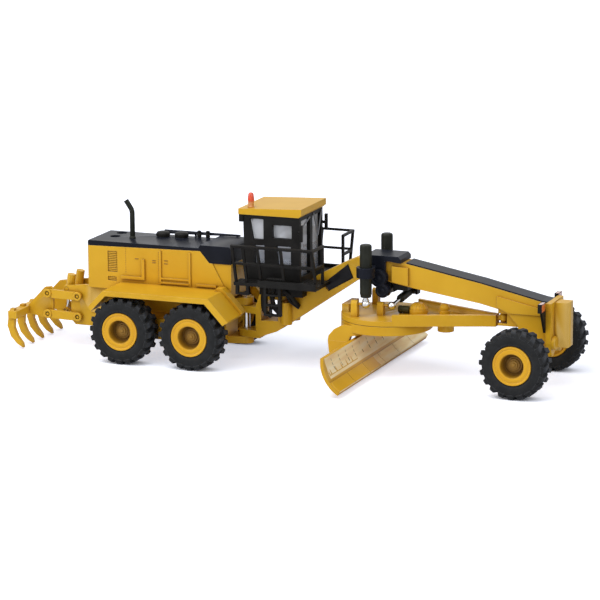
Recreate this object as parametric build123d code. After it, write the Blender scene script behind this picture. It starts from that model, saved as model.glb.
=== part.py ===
from build123d import *
import os
from math import atan2, cos, hypot, pi, sin

os.makedirs("parts", exist_ok=True)

# Die-cast scale model of a large motor grader, 1:125. Millimetres of the model, X forward,
# Y to the machine's left, Z up from the ground. The stations below are moved along X on
# writing, so that the origin lies under the middle of the length.

# Wheels
tyre_radius = 7.4
tread_depth = 0.55
tyre_width = 5.4
lug_count = 20
lug_taper = 0.76
shoulder_bevel = 0.42
rim_radius = 4.22
rim_gap = 0.03
rim_inset = 0.1
rim_dish_radius = 2.45
rim_dish_depth = 2.2
hub_radius = 1.7
hub_cap_radius = 1.05
hub_step = 0.4
track_half = 13.5
spindle_radius = 0.75
spindle_reach = 0.4
running_gap = 0.05
end_gap = 0.1

# Stations along the machine; the front ones are measured from the front axle
rear_axle_x = -33.0
middle_axle_x = -16.4
front_axle_x = 57.3
hitch_x = -9.45
tine_back_x = -63.5
nose_ahead = 7.9
bolster_ahead = 3.7
bolster_behind = 2.7
ball_behind = 6.9

# Rear frame
hood_half_width = 5.9
hood_back_x = -45.4
hood_front_x = -10.6
hood_floor_z = 14.6
hood_side_back_z = 24.1
hood_side_front_z = 24.66
hood_step_x = -17.9
hood_step_foot_x = -15.7
hood_step_z = 22.1
hood_corner = 0.5
hood_top_z = 25.3
hood_bonnet_z = 26.0
hood_top_edge = 0.4
chassis_half_width = 4.4
chassis_floor_z = 8.5
chassis_front_x = -13.0
head_thick = 1.6
head_half_width = 3.4
tank_back_x = -38.0
tank_floor_z = 10.2
tandem_radius = 2.3
tandem_inner_y = 8.0
tandem_outer_y = 10.3
axle_tube_radius = 1.6
fender_edge_y = 16.15
fender_thick = 1.15
fender_under_z = 15.25
fender_flat = (-36.3, -12.6)
fender_back_drop = (3.5, 3.6)
fender_front_drop = (4.3, 4.5)
fender_lip = 0.35
fender_lip_width = 0.6
fender_ridge_width = 2.2
fender_ridge = [(-13.8, 16.2), (-13.2, 17.1), (-11.8, 17.1), (-7.0, 12.0), (-8.2, 11.2),
                (-12.6, 15.8)]
stack_x = -36.6
stack_y = -0.55
stack_radius = 0.5
stack_collar = 0.7
stack_bend_z = 31.6
stack_tip = (1.5, 2.2)

# Panels on the hood's sides: from and to along X, from and to in height, how far they
# stand out of the side; a negative one is sunk
hood_panels = [(-40.3, -38.0, 18.5, 23.2, -0.3), (-40.3, -38.2, 16.5, 17.4, -0.3),
               (-36.9, -31.2, 17.2, 17.9, 0.45), (-31.9, -31.2, 17.8, 21.9, 0.45),
               (-27.7, -27.2, 16.5, 24.1, 0.3), (-20.6, -20.1, 16.5, 24.1, 0.3),
               (-27.3, -20.5, 17.7, 18.1, 0.3), (-27.3, -20.5, 16.8, 17.2, 0.45),
               (-18.7, -13.9, 16.8, 17.3, 0.5)]
hood_cheek = [(-15.1, 22.3), (-11.9, 16.5), (-10.4, 16.5), (-10.4, 22.3)]
hood_cheek_depth = 0.25

# Caps and holes on the hood's top: x, y, radius, height
hood_caps = [(-31.05, 3.7, 1.5, 0.8), (-26.5, 3.7, 1.5, 0.8)]
hood_posts = [(-22.7, 4.8, 0.45, 1.1), (-20.6, 4.8, 0.45, 1.1)]
hood_holes = [(-41.1, 0.0, 1.2, -0.4), (-41.3, 3.9, 1.2, -0.4)]
cap_taper = 35
hood_rail_x = (-31.5, -13.0)
hood_rail_y = (5.2, 5.55)
hood_rail_z = 26.5
hood_rail_height = 0.35
hood_rail_posts = (-31.0, -24.0, -13.9)

# Hitch
hitch_radius = 1.7
hitch_pin_radius = 0.85
hitch_pin_head = 0.4
hitch_floor_z = 3.6
hitch_top_z = 13.9
hitch_lug = 1.6
hitch_gap = 0.06
hitch_root = 3.2

# Front frame; the outlines are lists of (x, z)
beam_half_width = 2.4
bolster_floor_z = 9.2
walkway_thick = 0.3
walkway_back_x = 29.0
beam_top = [(17.7, 25.2), (22.0, 25.3), (28.9, 24.56)]
beam_end_z = 18.3
beam_under = [(17.9, 20.25), (21.5, 21.2), (25.9, 20.1), (31.2, 19.2)]
# ahead of the front axle, height
beam_nose_top = [(-11.6, 21.5), (2.15, 18.5)]
beam_nose_under = [(-11.6, 17.1), (-6.4, 15.95)]
bolster_heel = [(-5.1, 15.2), (-3.1, 12.9)]
bolster_cheek = [(-7.7, 16.7), (-5.1, 15.5), (3.7, 15.5), (3.7, 16.7), (-7.7, 19.05)]
bolster_cheek_stand = 0.35
neck_top = [(13.7, 23.3), (8.4, 20.5)]
neck_under = [(-1.2, 7.1), (1.3, 8.8)]
neck_back_x = -4.2
neck_window = [(-5.0, 9.3), (-0.9, 9.5), (-0.9, 14.2), (-3.6, 14.2), (-5.0, 11.6)]
neck_plate = [(9.98, 18.16), (15.61, 23.63), (16.85, 20.55), (11.02, 17.13)]
neck_plate_depth = 0.2
beam_box = [(25.8, 20.4), (29.5, 19.75), (29.5, 23.7), (25.8, 23.9)]
beam_box_stand = 0.5
column_x = 1.1
column_radius = 1.3
column_z = (9.0, 14.0)
jaw_half_width = 1.5
jaw_reach = (0.9, 4.0)
jaw_z = (12.4, 16.4)
plate_thick = 1.2
plate_half_width = 4.4
plate_floor_z = 7.1
plate_top_z = 18.7
plate_notch = 1.3
rib_half_width = 1.7
rib_trim = (0.4, 0.2)
boss_radius = 1.45
boss_y = 2.9
boss_z = 10.0
boss_reach = 0.8
lamp_y = 6.0
lamp_floor_z = 17.1
lamp_size = (0.9, 2.6, 1.9)
lamp_bracket_foot_z = 12.3
lamp_bracket_gap = 0.4

# Cab and decks
cab_floor_z = 18.8
cab_floor_thick = 0.7
cab_half_width = 6.8
cab_back_x = -7.2
cab_back_foot_x = -6.75
cab_front_x = 6.1
cab_wall = 0.8
cab_top_z = 33.9
# side windows, lists of (x, z)
side_panes = [[(-4.9, 28.5), (-2.4, 28.5), (-2.4, 33.0), (-5.7, 33.0)],
              [(-0.3, 29.0), (4.2, 29.0), (4.2, 31.9), (-0.3, 31.9)],
              [(-4.5, 23.2), (-2.2, 23.2), (-2.2, 27.2), (-4.5, 27.2)],
              [(0.9, 23.2), (4.0, 23.2), (4.0, 27.3), (0.6, 27.3)]]
front_pane_z = (20.6, 33.0)
front_post = 0.7
back_pane_y = 4.8
back_pane_z = (24.0, 32.0)
visor_floor_z = 32.2
visor_trim = 0.3
mirror_y = (7.1, 7.7)
mirror_z = (28.7, 32.3)
mirror_thick = 0.6
mirror_stalk = 0.3
glass_thick = 0.35
glass_gap = 0.05
roof_half_width = 7.4
roof_back_x = -8.05
roof_front_x = 6.7
roof_back_z = 35.15
roof_front_z = 35.8
roof_brow = 0.5
beacon_x = -5.8
beacon_y = -5.5
beacon_radius = 0.75
beacon_base = 1.4
beacon_height = 3.25
beacon_taper = 7
deck_outer_y = 10.7
deck_back_x = -7.9
deck_front_x = 11.4
deck_thick = 0.7
toe_thick = 0.4
toe_height = 1.5
toe_back_x = -2.0
# ladders: x of the rear and front stile, foot
ladders = [(-0.9, 2.5, 12.5), (-7.5, -5.0, 16.8)]
ladder_depth = 1.0
stile_thick = 0.6
tread_thick = 0.4
tread_rise = 2.2
rail_foot_y = 10.1
rail_outer_y = 12.5
rail_inner_y = 6.2
rail_thick = 0.55
rail_mid_z = 23.9
rail_top_z = 28.1
rail_posts = (-7.5, -5.0, -1.6, 3.8, 11.1)
seat_x = (-3.0, 0.2)
seat_half_width = 1.5
seat_height = 3.2
seat_back = [(-3.4, 2.9), (-2.2, 2.9), (-3.0, 8.2), (-4.0, 8.2)]
console = [(2.2, 0.0), (3.8, 0.0), (3.6, 3.6), (2.4, 4.4)]
console_half_width = 0.8
underwork_x = (-4.2, 5.9)
underwork_y = 5.0
underwork_floor_z = 15.8
hose_radius = 0.4
hose_runs = [[(2.0, -4.4, 16.0), (2.8, -4.0, 14.4), (4.2, -2.9, 13.0)],
             [(-1.8, -4.4, 16.0), (-1.4, -4.2, 13.0), (-0.4, -3.2, 11.4)]]

# Front axle
kingpin_y = 9.0
kingpin_radius = 0.4
axle_half_height = 1.7
axle_half_width = 1.0
axle_pad = (1.8, 1.6)
fork_gap = 2.1
fork_depth = 1.6
steering_arm = 3.2
arm_half = 0.4
tie_pin_radius = 0.3
tie_rod_thick = 0.6

# Drawbar, circle and blade
ball_z = 14.0
ball_radius = 1.0
ball_gap = 0.1
ball_taper = 30
ball_neck_radius = 0.6
circle_x = 23.7
circle_radius = 10.0
circle_bore = 7.6
circle_floor_z = 9.9
circle_top_z = 11.9
turn_gap = 0.1
drawbar_deck = 1.1
drawbar_side_z = 14.5
drawbar_foot = (28.0, 9.0)
drawbar_side_thick = 0.9
# behind the ball, half width
drawbar_waist = (3.9, 1.9)
drawbar_nose = (1.5, 1.2)
drawbar_opening = [(10.8, -3.2), (5.6, -1.0), (5.6, 1.0), (10.8, 3.2)]
# drums on the drawbar: x, radius, top
drawbar_drums = [(31.0, 2.0, 15.7), (36.9, 1.1, 15.9)]
pinion_box_x = 37.2
pinion_box_radius = 1.8
drawbar_stop_x = (14.4, 16.0)
drawbar_stop_y = 3.2
drawbar_stop_z = 14.8
seat_overlap = 0.2
circle_arm_y = (7.3, 8.7)
circle_arm = [(21.0, 11.4), (16.6, 11.4), (14.6, 10.3), (13.4, 8.9), (13.2, 7.8), (18.0, 7.8),
              (18.4, 9.0), (21.0, 9.6)]
blade_bracket = [(13.2, 7.8), (13.5, 5.1), (15.0, 4.7), (21.0, 4.7), (20.0, 7.8)]
lift_x = 21.25
lift_y = 6.6
lift_radius = 1.3
lift_top_z = 29.1
lift_foot_z = 17.5
lift_pivot_z = 23.0
lift_eye_z = 15.96
lift_ball_radius = 0.95
lift_rod_radius = 0.55
lift_bore_depth = 4.2
lift_seat = 1.6
trunnion_radius = 0.4
trunnion_bore_half = 2.0
ball_stud_radius = 0.3
ball_bore_radius = 0.55
stud_sink = 0.5
post_width = 1.5
post_thick = 1.4
post_gap = 0.85
motor_x = (26.4, 29.0)
motor_radius = 0.82
ring_gap = 0.1
ring_wall = 0.65
ring_half_height = 1.1
ring_arm_half = 1.0
ring_arm_trim = 0.2
ring_pin_sink = (0.5, 0.1)
saddle_x = (19.9, 28.0)
saddle_cheek_x = 24.4
saddle_floor_z = 20.9
saddle_wall = 0.9
saddle_thick = 0.8
saddle_nose = 0.6
link_x = (22.1, 25.2)
link_foot = [(25.2, 18.6), (24.4, 17.2), (22.8, 17.2)]
link_half_width = 2.0
fork_back_y = -1.5
fork_shelf_z = (18.4, 19.2)
fork_cheek_y = (0.9, 1.0)
fork_cheek_drop = 0.8
fork_inner_gap = 0.3
fork_cheek_thick = 0.5
shift_eye = (26.0, -3.4, 15.3)
shift_pivot = (27.3, 5.6, 17.1)
shift_radius = 0.9
shift_rod_radius = 0.4
shift_bore_radius = 0.62
shift_barrel_share = 0.6
blade_half_length = 27.8
blade_top = (19.7, 8.5)
blade_foot = (23.2, 1.45)
blade_sag = 1.15
blade_thick = 0.75
edge_height = 2.4
edge_thick = 0.45
edge_pieces = 6
edge_groove = 0.12

# Ripper; the outlines are lists of (x, z)
ripper_x = -48.5
ripper_top_z = 11.9
ripper_low_z = 7.2
ripper_reach = 7.45
ripper_rise = 0.2
ripper_cheek_y = (3.4, 4.2)
ripper_link_y = (4.3, 5.0)
ripper_link_radius = 0.95
ripper_pin_radius = 0.45
ripper_trunnion = (-51.5, 13.3)
ripper_eye = (-52.4, 7.75)
ripper_tie = (-54.0, 12.0)
ripper_cylinder_y = 2.3
ripper_barrel_radius = 0.95
ripper_barrel_span = (3.1, 2.6)
ripper_barrel_pin = 0.6
ripper_rod_radius = 0.4
ripper_bore_depth = 3.4
ripper_rod_overlap = 1.0
ripper_eye_radius = 1.0
ripper_eye_bore = 0.62
ripper_eye_half = 0.5
cross_pin_radius = 0.35
cheek_root_x = -42.4
cheek_foot = [(-45.4, 5.3), (-49.4, 5.3), (-50.4, 6.4)]
cheek_ear = [(-50.4, 12.2), (-51.9, 12.5), (-52.4, 13.3), (-51.9, 14.1), (-50.3, 14.2)]
cheek_shoulder_x = -47.0
beam_plate = [(-54.95, 6.4), (-54.95, 13.0), (-55.55, 13.5), (-56.95, 13.3), (-61.15, 8.9),
              (-61.15, 7.0), (-56.95, 6.2)]
beam_bar_x = (-63.0, -60.9)
beam_bar_z = (7.0, 8.7)
tine_count = 5
tine_pitch = 4.85
tine_thick = 1.1
tine_outline = [(-62.7, 9.2), (-63.2, 7.4), (-63.5, 5.2), (-62.7, 2.8), (-61.2, 1.2),
                (-59.7, 0.35), (-59.9, 1.3), (-61.1, 2.9), (-61.9, 4.8), (-61.7, 7.0),
                (-61.7, 9.2)]

# Small round pieces have a few flat sides: up to these radii these counts, and the last
# count above them
side_limits = [0.42, 0.6, 1.75, 2.6, 6.0]
side_counts = [6, 8, 12, 16, 20, 32]
overshoot = 1.0
arc_overrun = 0.1

# Places that follow from the sizes above
axle_z = tyre_radius
half_tyre = tyre_width / 2
nose_x = front_axle_x + nose_ahead
bolster_front_x = front_axle_x + bolster_ahead
bolster_back_x = front_axle_x - bolster_behind
ball_x = front_axle_x - ball_behind
beam_crest = [*beam_top, *[(front_axle_x + ahead, z) for ahead, z in beam_nose_top],
              (bolster_front_x, beam_end_z)]
beam_belly = [*beam_under, *[(front_axle_x + ahead, z) for ahead, z in beam_nose_under]]
drawbar_side = [drawbar_foot, *[(ball_x - back, y) for back, y in (drawbar_waist, drawbar_nose)]]
deck_top_z = cab_floor_z + deck_thick
drawbar_floor_z = circle_top_z + turn_gap
drawbar_top_z = drawbar_floor_z + drawbar_deck
spindle_end_y = track_half + spindle_reach
ripper_top_pin = (ripper_x - ripper_reach, ripper_top_z + ripper_rise)
ripper_low_pin = (ripper_x - ripper_reach, ripper_low_z + ripper_rise)
origin_x = (nose_x + tine_back_x) / 2


def side_prism(outline, y_low, y_high):
    # outline is a list of (x, z)
    face = make_face(Plane.XZ * Polyline(*outline, close=True))
    return Pos(0, y_low, 0) * extrude(face, amount=y_high - y_low, dir=(0, 1, 0))


def plan_prism(outline, z_low, z_high):
    # outline is a list of (x, y)
    face = make_face(Plane.XY * Polyline(*outline, close=True))
    return Pos(0, 0, z_low) * extrude(face, amount=z_high - z_low, dir=(0, 0, 1))


def front_prism(outline, x_low, x_high):
    # outline is a list of (y, z)
    face = make_face(Plane.YZ * Polyline(*outline, close=True))
    return Pos(x_low, 0, 0) * extrude(face, amount=x_high - x_low, dir=(1, 0, 0))


def block(x_span, y_span, z_span):
    spans = (x_span, y_span, z_span)
    sizes = [high - low for low, high in spans]
    return Pos(*[(low + high) / 2 for low, high in spans]) * Box(*sizes)


def side_count(radius):
    larger = [limit for limit in side_limits if radius > limit]
    return side_counts[len(larger)]


def shaft(start, end, radius):
    # pin or bar with its corners on the radius
    axis = Vector(*end) - Vector(*start)
    plane = Plane(origin=start, z_dir=axis)
    return extrude(plane * RegularPolygon(radius, side_count(radius)), amount=axis.length)


def bore(start, end, radius):
    # hole with its flats on the radius, which a pin of that radius can turn in
    axis = Vector(*end) - Vector(*start)
    plane = Plane(origin=start, z_dir=axis)
    ring = RegularPolygon(radius, side_count(radius), major_radius=False)
    return extrude(plane * ring, amount=axis.length)


def round_shaft(start, end, radius):
    axis = Vector(*end) - Vector(*start)
    return Solid.make_cylinder(radius, axis.length, Plane(origin=start, z_dir=axis))


def cross(make, x, z, y_low, y_high, radius):
    return make((x, y_low, z), (x, y_high, z), radius)


def upright(make, x, y, z_low, z_high, radius):
    return make((x, y, z_low), (x, y, z_high), radius)


def dome(x, y, z, height, radius, taper):
    # tapered round end on a flat at z; a negative height points down
    ring = RegularPolygon(radius, side_count(radius))
    return Pos(x, y, z) * extrude(ring, amount=height, taper=taper)


def ball(x, y, z, radius):
    # many-sided ball: a belt with a tapered end above and below
    belt = radius / 2
    middle = upright(shaft, x, y, z - belt, z + belt, radius)
    ends = [dome(x, y, z + side * belt, side * (radius - belt), radius, ball_taper)
            for side in (-1, 1)]
    return join(middle, *ends)


def between(start, end, share):
    return tuple(a + (b - a) * share for a, b in zip(start, end))


def half_round(centre, radius, turn):
    # points of a half circle about a centre that faces the angle turn
    steps = side_count(radius) // 2
    angles = [turn + pi * (i / steps - 0.5) for i in range(steps + 1)]
    return [(centre[0] + radius * cos(a), centre[1] + radius * sin(a)) for a in angles]


def strap(start, end, radius, y_low, y_high):
    # plate with round ends about two (x, z) centres
    turn = atan2(end[1] - start[1], end[0] - start[0])
    outline = half_round(end, radius, turn) + half_round(start, radius, turn + pi)
    return side_prism(outline, y_low, y_high)


def pair(solid):
    return [solid, mirror(solid, about=Plane.XZ)]


def join(*pieces):
    return pieces[0].fuse(*pieces[1:])


def cut(body, *tools):
    for tool in tools:
        body = body - tool
    return body


def height_on(line, x):
    # height at x of a line of (x, z) points
    for (xa, za), (xb, zb) in zip(line, line[1:]):
        if xa <= x <= xb:
            return za + (x - xa) / (xb - xa) * (zb - za)
    return line[-1][1]


def stretch_of(line, x_low, x_high):
    # the part of a line of (x, z) points between two places
    inside = [(x, z) for x, z in line if x_low < x < x_high]
    return [(x_low, height_on(line, x_low)), *inside, (x_high, height_on(line, x_high))]


def save(node, *shapes):
    moved = [Pos(-origin_x, 0, 0) * one for shape in shapes for one in shape.solids()]
    whole = moved[0] if len(moved) == 1 else Compound(children=moved)
    export_step(whole, f"parts/{node}.step")


# Wheels

def tread_half(turn):
    # from the middle plane to the sidewall at +Y; each lug covers half of its pitch, so the
    # lugs of the other half, turned by half a pitch, start where these end
    pitch = 2 * pi / lug_count
    base = tyre_radius - tread_depth
    crest = tyre_radius / cos(pitch * lug_taper / 4)
    # radius, share of the pitch from the lug's middle
    corners = [(base, -0.25), (crest, -0.25 * lug_taper), (crest, 0.25 * lug_taper), (base, 0.25)]
    outline = [(r * sin((i + share) * pitch + turn), r * cos((i + share) * pitch + turn))
               for i in range(lug_count) for r, share in corners]
    half = side_prism(outline, 0, half_tyre)
    rim_edges = half.faces().sort_by(Axis.Y)[-1].edges()
    crests = rim_edges.filter_by(lambda edge: hypot(edge.center().X, edge.center().Z)
                                 > tyre_radius - tread_depth / 4)
    return chamfer(crests, shoulder_bevel)


def make_tyre():
    far = mirror(tread_half(pi / lug_count), about=Plane.XZ)
    hole = cross(bore, 0, 0, -tyre_width, tyre_width, rim_radius + rim_gap)
    return (tread_half(0) + far) - hole


def make_rim():
    # open side towards -Y
    face = rim_inset - half_tyre
    floor = face + rim_dish_depth
    back = half_tyre - 3 * rim_inset
    drum = cross(shaft, 0, 0, face, back, rim_radius)
    dish = cross(bore, 0, 0, face - overshoot, floor, rim_dish_radius)
    hub = cross(shaft, 0, 0, floor - hub_step, floor, hub_radius)
    cap = cross(shaft, 0, 0, floor - 2 * hub_step, floor, hub_cap_radius)
    seat = cross(bore, 0, 0, -spindle_reach - end_gap, half_tyre, spindle_radius + running_gap)
    return cut(join(drum - dish, hub, cap), seat)


def save_wheels():
    tyre = make_tyre()
    rim = make_rim()
    for row, x in (("front", front_axle_x), ("middle", middle_axle_x), ("rear", rear_axle_x)):
        for side, y, turn in (("right", -track_half, 0), ("left", track_half, 180)):
            place = Pos(x, y, axle_z) * Rot(0, 0, turn)
            save(f"tyre_{row}_{side}", place * tyre)
            save(f"rim_{row}_{side}", place * rim)


# Rear frame

def hitch_tongue(z_low, root_x, root_half):
    # plate from root_x to a round end about the hitch pin, bored for it
    z_high = z_low + hitch_lug
    ahead = root_x > hitch_x
    inner_x = root_x + (overshoot if ahead else -overshoot)
    nose = half_round((hitch_x, 0), hitch_radius, pi if ahead else 0)
    side = -1 if ahead else 1
    root = [(root_x, side * root_half), (inner_x, side * root_half),
            (inner_x, -side * root_half), (root_x, -side * root_half)]
    plate = plan_prism(nose + root, z_low, z_high)
    return plate - upright(bore, hitch_x, 0, z_low - overshoot, z_high + overshoot,
                           hitch_pin_radius + running_gap)


def make_ripper_cheek():
    ear_x, ear_z = ripper_trunnion
    outline = [(cheek_root_x, hood_floor_z), (cheek_root_x, chassis_floor_z), *cheek_foot,
               *cheek_ear, (cheek_shoulder_x, hood_floor_z)]
    low, high = ripper_cheek_y
    cheek = side_prism(outline, -high, -low)
    hole = cross(bore, ear_x, ear_z, -high - overshoot, 0, ripper_pin_radius + running_gap)
    pins = [cross(shaft, ripper_x, z, -ripper_link_y[1] - end_gap, -high, ripper_pin_radius)
            for z in (ripper_top_z, ripper_low_z)]
    return join(cheek - hole, *pins)


def make_tandem_case():
    # its round ends are about the two axles
    reach = middle_axle_x - rear_axle_x
    slot = Plane.XZ * Pos(rear_axle_x + reach / 2, axle_z) * SlotCenterToCenter(
        reach, 2 * tandem_radius)
    case = extrude(slot, amount=tandem_outer_y - tandem_inner_y, dir=(0, 1, 0))
    return Pos(0, -tandem_outer_y, 0) * case


def make_rear_chassis():
    spine = block((hood_back_x, chassis_front_x), (-chassis_half_width, chassis_half_width),
                  (chassis_floor_z, hood_floor_z))
    tank = block((tank_back_x, chassis_front_x), (-hood_half_width, hood_half_width),
                 (tank_floor_z, hood_floor_z))
    head = block((chassis_front_x - head_thick, chassis_front_x),
                 (-head_half_width, head_half_width), (hitch_floor_z, hood_floor_z))
    axle = cross(shaft, (rear_axle_x + middle_axle_x) / 2, axle_z, -tandem_inner_y,
                 tandem_inner_y, axle_tube_radius)
    spindles = [cross(shaft, x, axle_z, -spindle_end_y, -tandem_outer_y, spindle_radius)
                for x in (rear_axle_x, middle_axle_x)]
    tandem = join(make_tandem_case(), *spindles)
    tongues = [hitch_tongue(z, chassis_front_x, head_half_width * 0.75)
               for z in (hitch_floor_z, hitch_top_z - hitch_lug)]
    return join(spine, tank, head, axle, *pair(tandem), *tongues, *pair(make_ripper_cheek()))


def rounded_back(body):
    # the hood's two upright corners at the back
    corners = body.edges().filter_by(Axis.Z).group_by(Axis.X)[0]
    return chamfer(corners, hood_corner)


def make_hood():
    outline = [(hood_back_x, hood_floor_z), (hood_back_x, hood_side_back_z),
               (hood_step_x, hood_side_front_z), (hood_step_foot_x, hood_step_z),
               (hood_front_x, hood_step_z), (hood_front_x, hood_floor_z)]
    hood = rounded_back(side_prism(outline, -hood_half_width, hood_half_width))
    raised = [block((xa, xb), (-hood_half_width - stand, -hood_half_width), (za, zb))
              for xa, xb, za, zb, stand in hood_panels if stand > 0]
    sunk = [block((xa, xb), (-hood_half_width - overshoot, -hood_half_width - stand), (za, zb))
            for xa, xb, za, zb, stand in hood_panels if stand < 0]
    sunk.append(side_prism(hood_cheek, -hood_half_width - overshoot,
                           hood_cheek_depth - hood_half_width))
    for tool in sunk:
        hood = cut(hood, *pair(tool))
    return join(hood, *[side for one in raised for side in pair(one)])


def make_hood_top():
    edge = hood_top_edge
    outline = [(hood_back_x, hood_side_back_z), (hood_back_x, hood_top_z - edge),
               (hood_back_x + edge, hood_top_z), (hood_step_x - edge, hood_top_z),
               (hood_step_x, hood_bonnet_z), (hood_front_x - edge, hood_bonnet_z),
               (hood_front_x, hood_bonnet_z - edge), (hood_front_x, hood_step_z),
               (hood_step_foot_x, hood_step_z), (hood_step_x, hood_side_front_z)]
    body = rounded_back(side_prism(outline, -hood_half_width, hood_half_width))
    top = hood_top_z
    holes = [upright(bore, x, y, top + h, top + overshoot, r) for x, y, r, h in hood_holes]
    caps = [upright(shaft, x, y, top - edge, top + h / 2, r) for x, y, r, h in hood_caps]
    domes = [dome(x, y, top + h / 2, h / 2, r, cap_taper) for x, y, r, h in hood_caps]
    posts = [upright(shaft, x, y, top - edge, top + h, r) for x, y, r, h in hood_posts]
    rail_floor = hood_rail_z - hood_rail_height
    rail = block(hood_rail_x, hood_rail_y, (rail_floor, hood_rail_z))
    feet = [block((x, x + edge), hood_rail_y, (top - edge, rail_floor)) for x in hood_rail_posts]
    return join(cut(body, *holes), *caps, *domes, *posts, rail, *feet)


def make_exhaust():
    foot = (stack_x, stack_y, hood_top_z)
    bend = (stack_x, stack_y, stack_bend_z)
    tip = (stack_x - stack_tip[0], stack_y, stack_bend_z + stack_tip[1])
    ring = Plane(origin=foot) * RegularPolygon(stack_radius, side_count(stack_radius))
    pipe = sweep(ring, path=Polyline(foot, bend, tip), transition=Transition.RIGHT)
    return pipe + upright(shaft, stack_x, stack_y, hood_top_z, hood_top_z + stack_radius,
                          stack_collar)


def make_fender():
    back, front = fender_flat
    under, top = fender_under_z, fender_under_z + fender_thick
    (back_x, back_z), (front_x, front_z) = fender_back_drop, fender_front_drop
    spread = fender_thick * 0.7
    outline = [(back - back_x, under - back_z), (back, under), (front, under),
               (front + front_x, under - front_z),
               (front + front_x + spread, under - front_z + spread),
               (front + fender_thick / 2, top), (back - fender_thick / 2, top),
               (back - back_x - spread, under - back_z + spread)]
    skirt = side_prism(outline, -fender_edge_y, -hood_half_width)
    lip = side_prism([(front + fender_thick / 2, top - fender_lip),
                      (front + fender_thick / 2, top),
                      (front + fender_thick / 2 + fender_lip, top),
                      (front + front_x + spread + fender_lip, under - front_z + spread),
                      (front + front_x + spread, under - front_z + spread - fender_lip)],
                     -fender_edge_y, fender_lip_width - fender_edge_y)
    ridge = side_prism(fender_ridge, -hood_half_width - fender_ridge_width, -hood_half_width)
    return join(skirt, lip, ridge)


def make_hitch_pin():
    shank = upright(round_shaft, hitch_x, 0, hitch_floor_z, hitch_top_z, hitch_pin_radius)
    return shank + upright(shaft, hitch_x, 0, hitch_top_z, hitch_top_z + hitch_pin_head,
                           hitch_pin_radius + hitch_pin_head)


def save_rear_frame():
    save("rear_chassis", make_rear_chassis())
    save("engine_hood", make_hood())
    save("hood_top", make_hood_top())
    save("exhaust_stack", make_exhaust())
    save("fenders", *pair(make_fender()))
    save("hitch_pin", make_hitch_pin())


# Front frame

def make_front_frame():
    root_x = hitch_x + hitch_root
    low_z = hitch_floor_z + hitch_lug + hitch_gap
    high_z = hitch_top_z - 2 * hitch_lug - hitch_gap
    heel = [(front_axle_x + ahead, z) for ahead, z in bolster_heel]
    outline = [(root_x, low_z), *neck_under, *beam_belly, *heel,
               (bolster_back_x, bolster_floor_z), (bolster_front_x, bolster_floor_z),
               *reversed(beam_crest), *neck_top, (cab_front_x + end_gap, cab_floor_z),
               (neck_back_x, cab_floor_z), (root_x, high_z + hitch_lug)]
    half = beam_half_width
    spine = side_prism(outline, -half, half) - side_prism(neck_window, -2 * half, 2 * half)
    plate = side_prism(neck_plate, -half - overshoot, neck_plate_depth - half)
    box = side_prism(beam_box, -half - beam_box_stand, -half)
    cheek = side_prism([(front_axle_x + ahead, z) for ahead, z in bolster_cheek],
                       -half - bolster_cheek_stand, -half)
    column = upright(shaft, column_x, -half, *column_z, column_radius)
    back, front = jaw_reach
    jaws = block((ball_x - back, ball_x + front), (-jaw_half_width, jaw_half_width), jaw_z)
    mouth_half = ball_radius + ball_gap
    mouth = block((ball_x - back - overshoot, ball_x + mouth_half),
                  (-2 * half, 2 * half), (ball_z - mouth_half, ball_z + mouth_half))
    tongues = [hitch_tongue(z, root_x, half) for z in (low_z, high_z)]
    return join(cut(spine, *pair(plate)), *tongues, *pair(column), *pair(box), *pair(cheek),
                jaws) - mouth


def make_walkway():
    line = stretch_of(beam_crest, walkway_back_x, bolster_front_x)
    upper = [(x, z + walkway_thick) for x, z in reversed(line)]
    return side_prism(line + upper, -beam_half_width, beam_half_width)


def make_push_plate():
    # the lower edge has a lobe round each boss and a notch between them
    face_x = bolster_front_x + plate_thick
    lobe = plate_half_width - boss_y
    half = [(-plate_half_width, plate_top_z), (-plate_half_width, boss_z),
            (-boss_y - lobe / 2, plate_floor_z), (-boss_y + lobe / 2, plate_floor_z),
            (-rib_half_width / 2, plate_floor_z + plate_notch)]
    outline = half + [(-y, z) for y, z in reversed(half)]
    plate = front_prism(outline, bolster_front_x, face_x)
    low_trim, top_trim = rib_trim
    rib = block((face_x, nose_x), (-rib_half_width, rib_half_width),
                (plate_floor_z + plate_notch + low_trim, plate_top_z - top_trim))
    boss = shaft((face_x, -boss_y, boss_z), (face_x + boss_reach, -boss_y, boss_z), boss_radius)
    return join(plate, rib, *pair(boss))


def make_lamp_bracket():
    inner = beam_half_width + lamp_bracket_gap
    outline = [(-inner, lamp_bracket_foot_z), (-plate_half_width, lamp_bracket_foot_z),
               (-lamp_y - lamp_size[0], lamp_floor_z), (-inner, lamp_floor_z)]
    return front_prism(outline, bolster_front_x - lamp_size[0] * 0.6, bolster_front_x)


def make_lamp():
    depth, width, height = lamp_size
    return block((bolster_front_x - depth, bolster_front_x),
                 (-lamp_y - width / 2, -lamp_y + width / 2), (lamp_floor_z, lamp_floor_z + height))


def save_front_frame():
    save("front_frame", make_front_frame())
    save("beam_walkway", make_walkway())
    save("push_plate", make_push_plate())
    save("lamp_brackets", *pair(make_lamp_bracket()))
    save("marker_lamps", *pair(make_lamp()))


# Front axle

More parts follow.
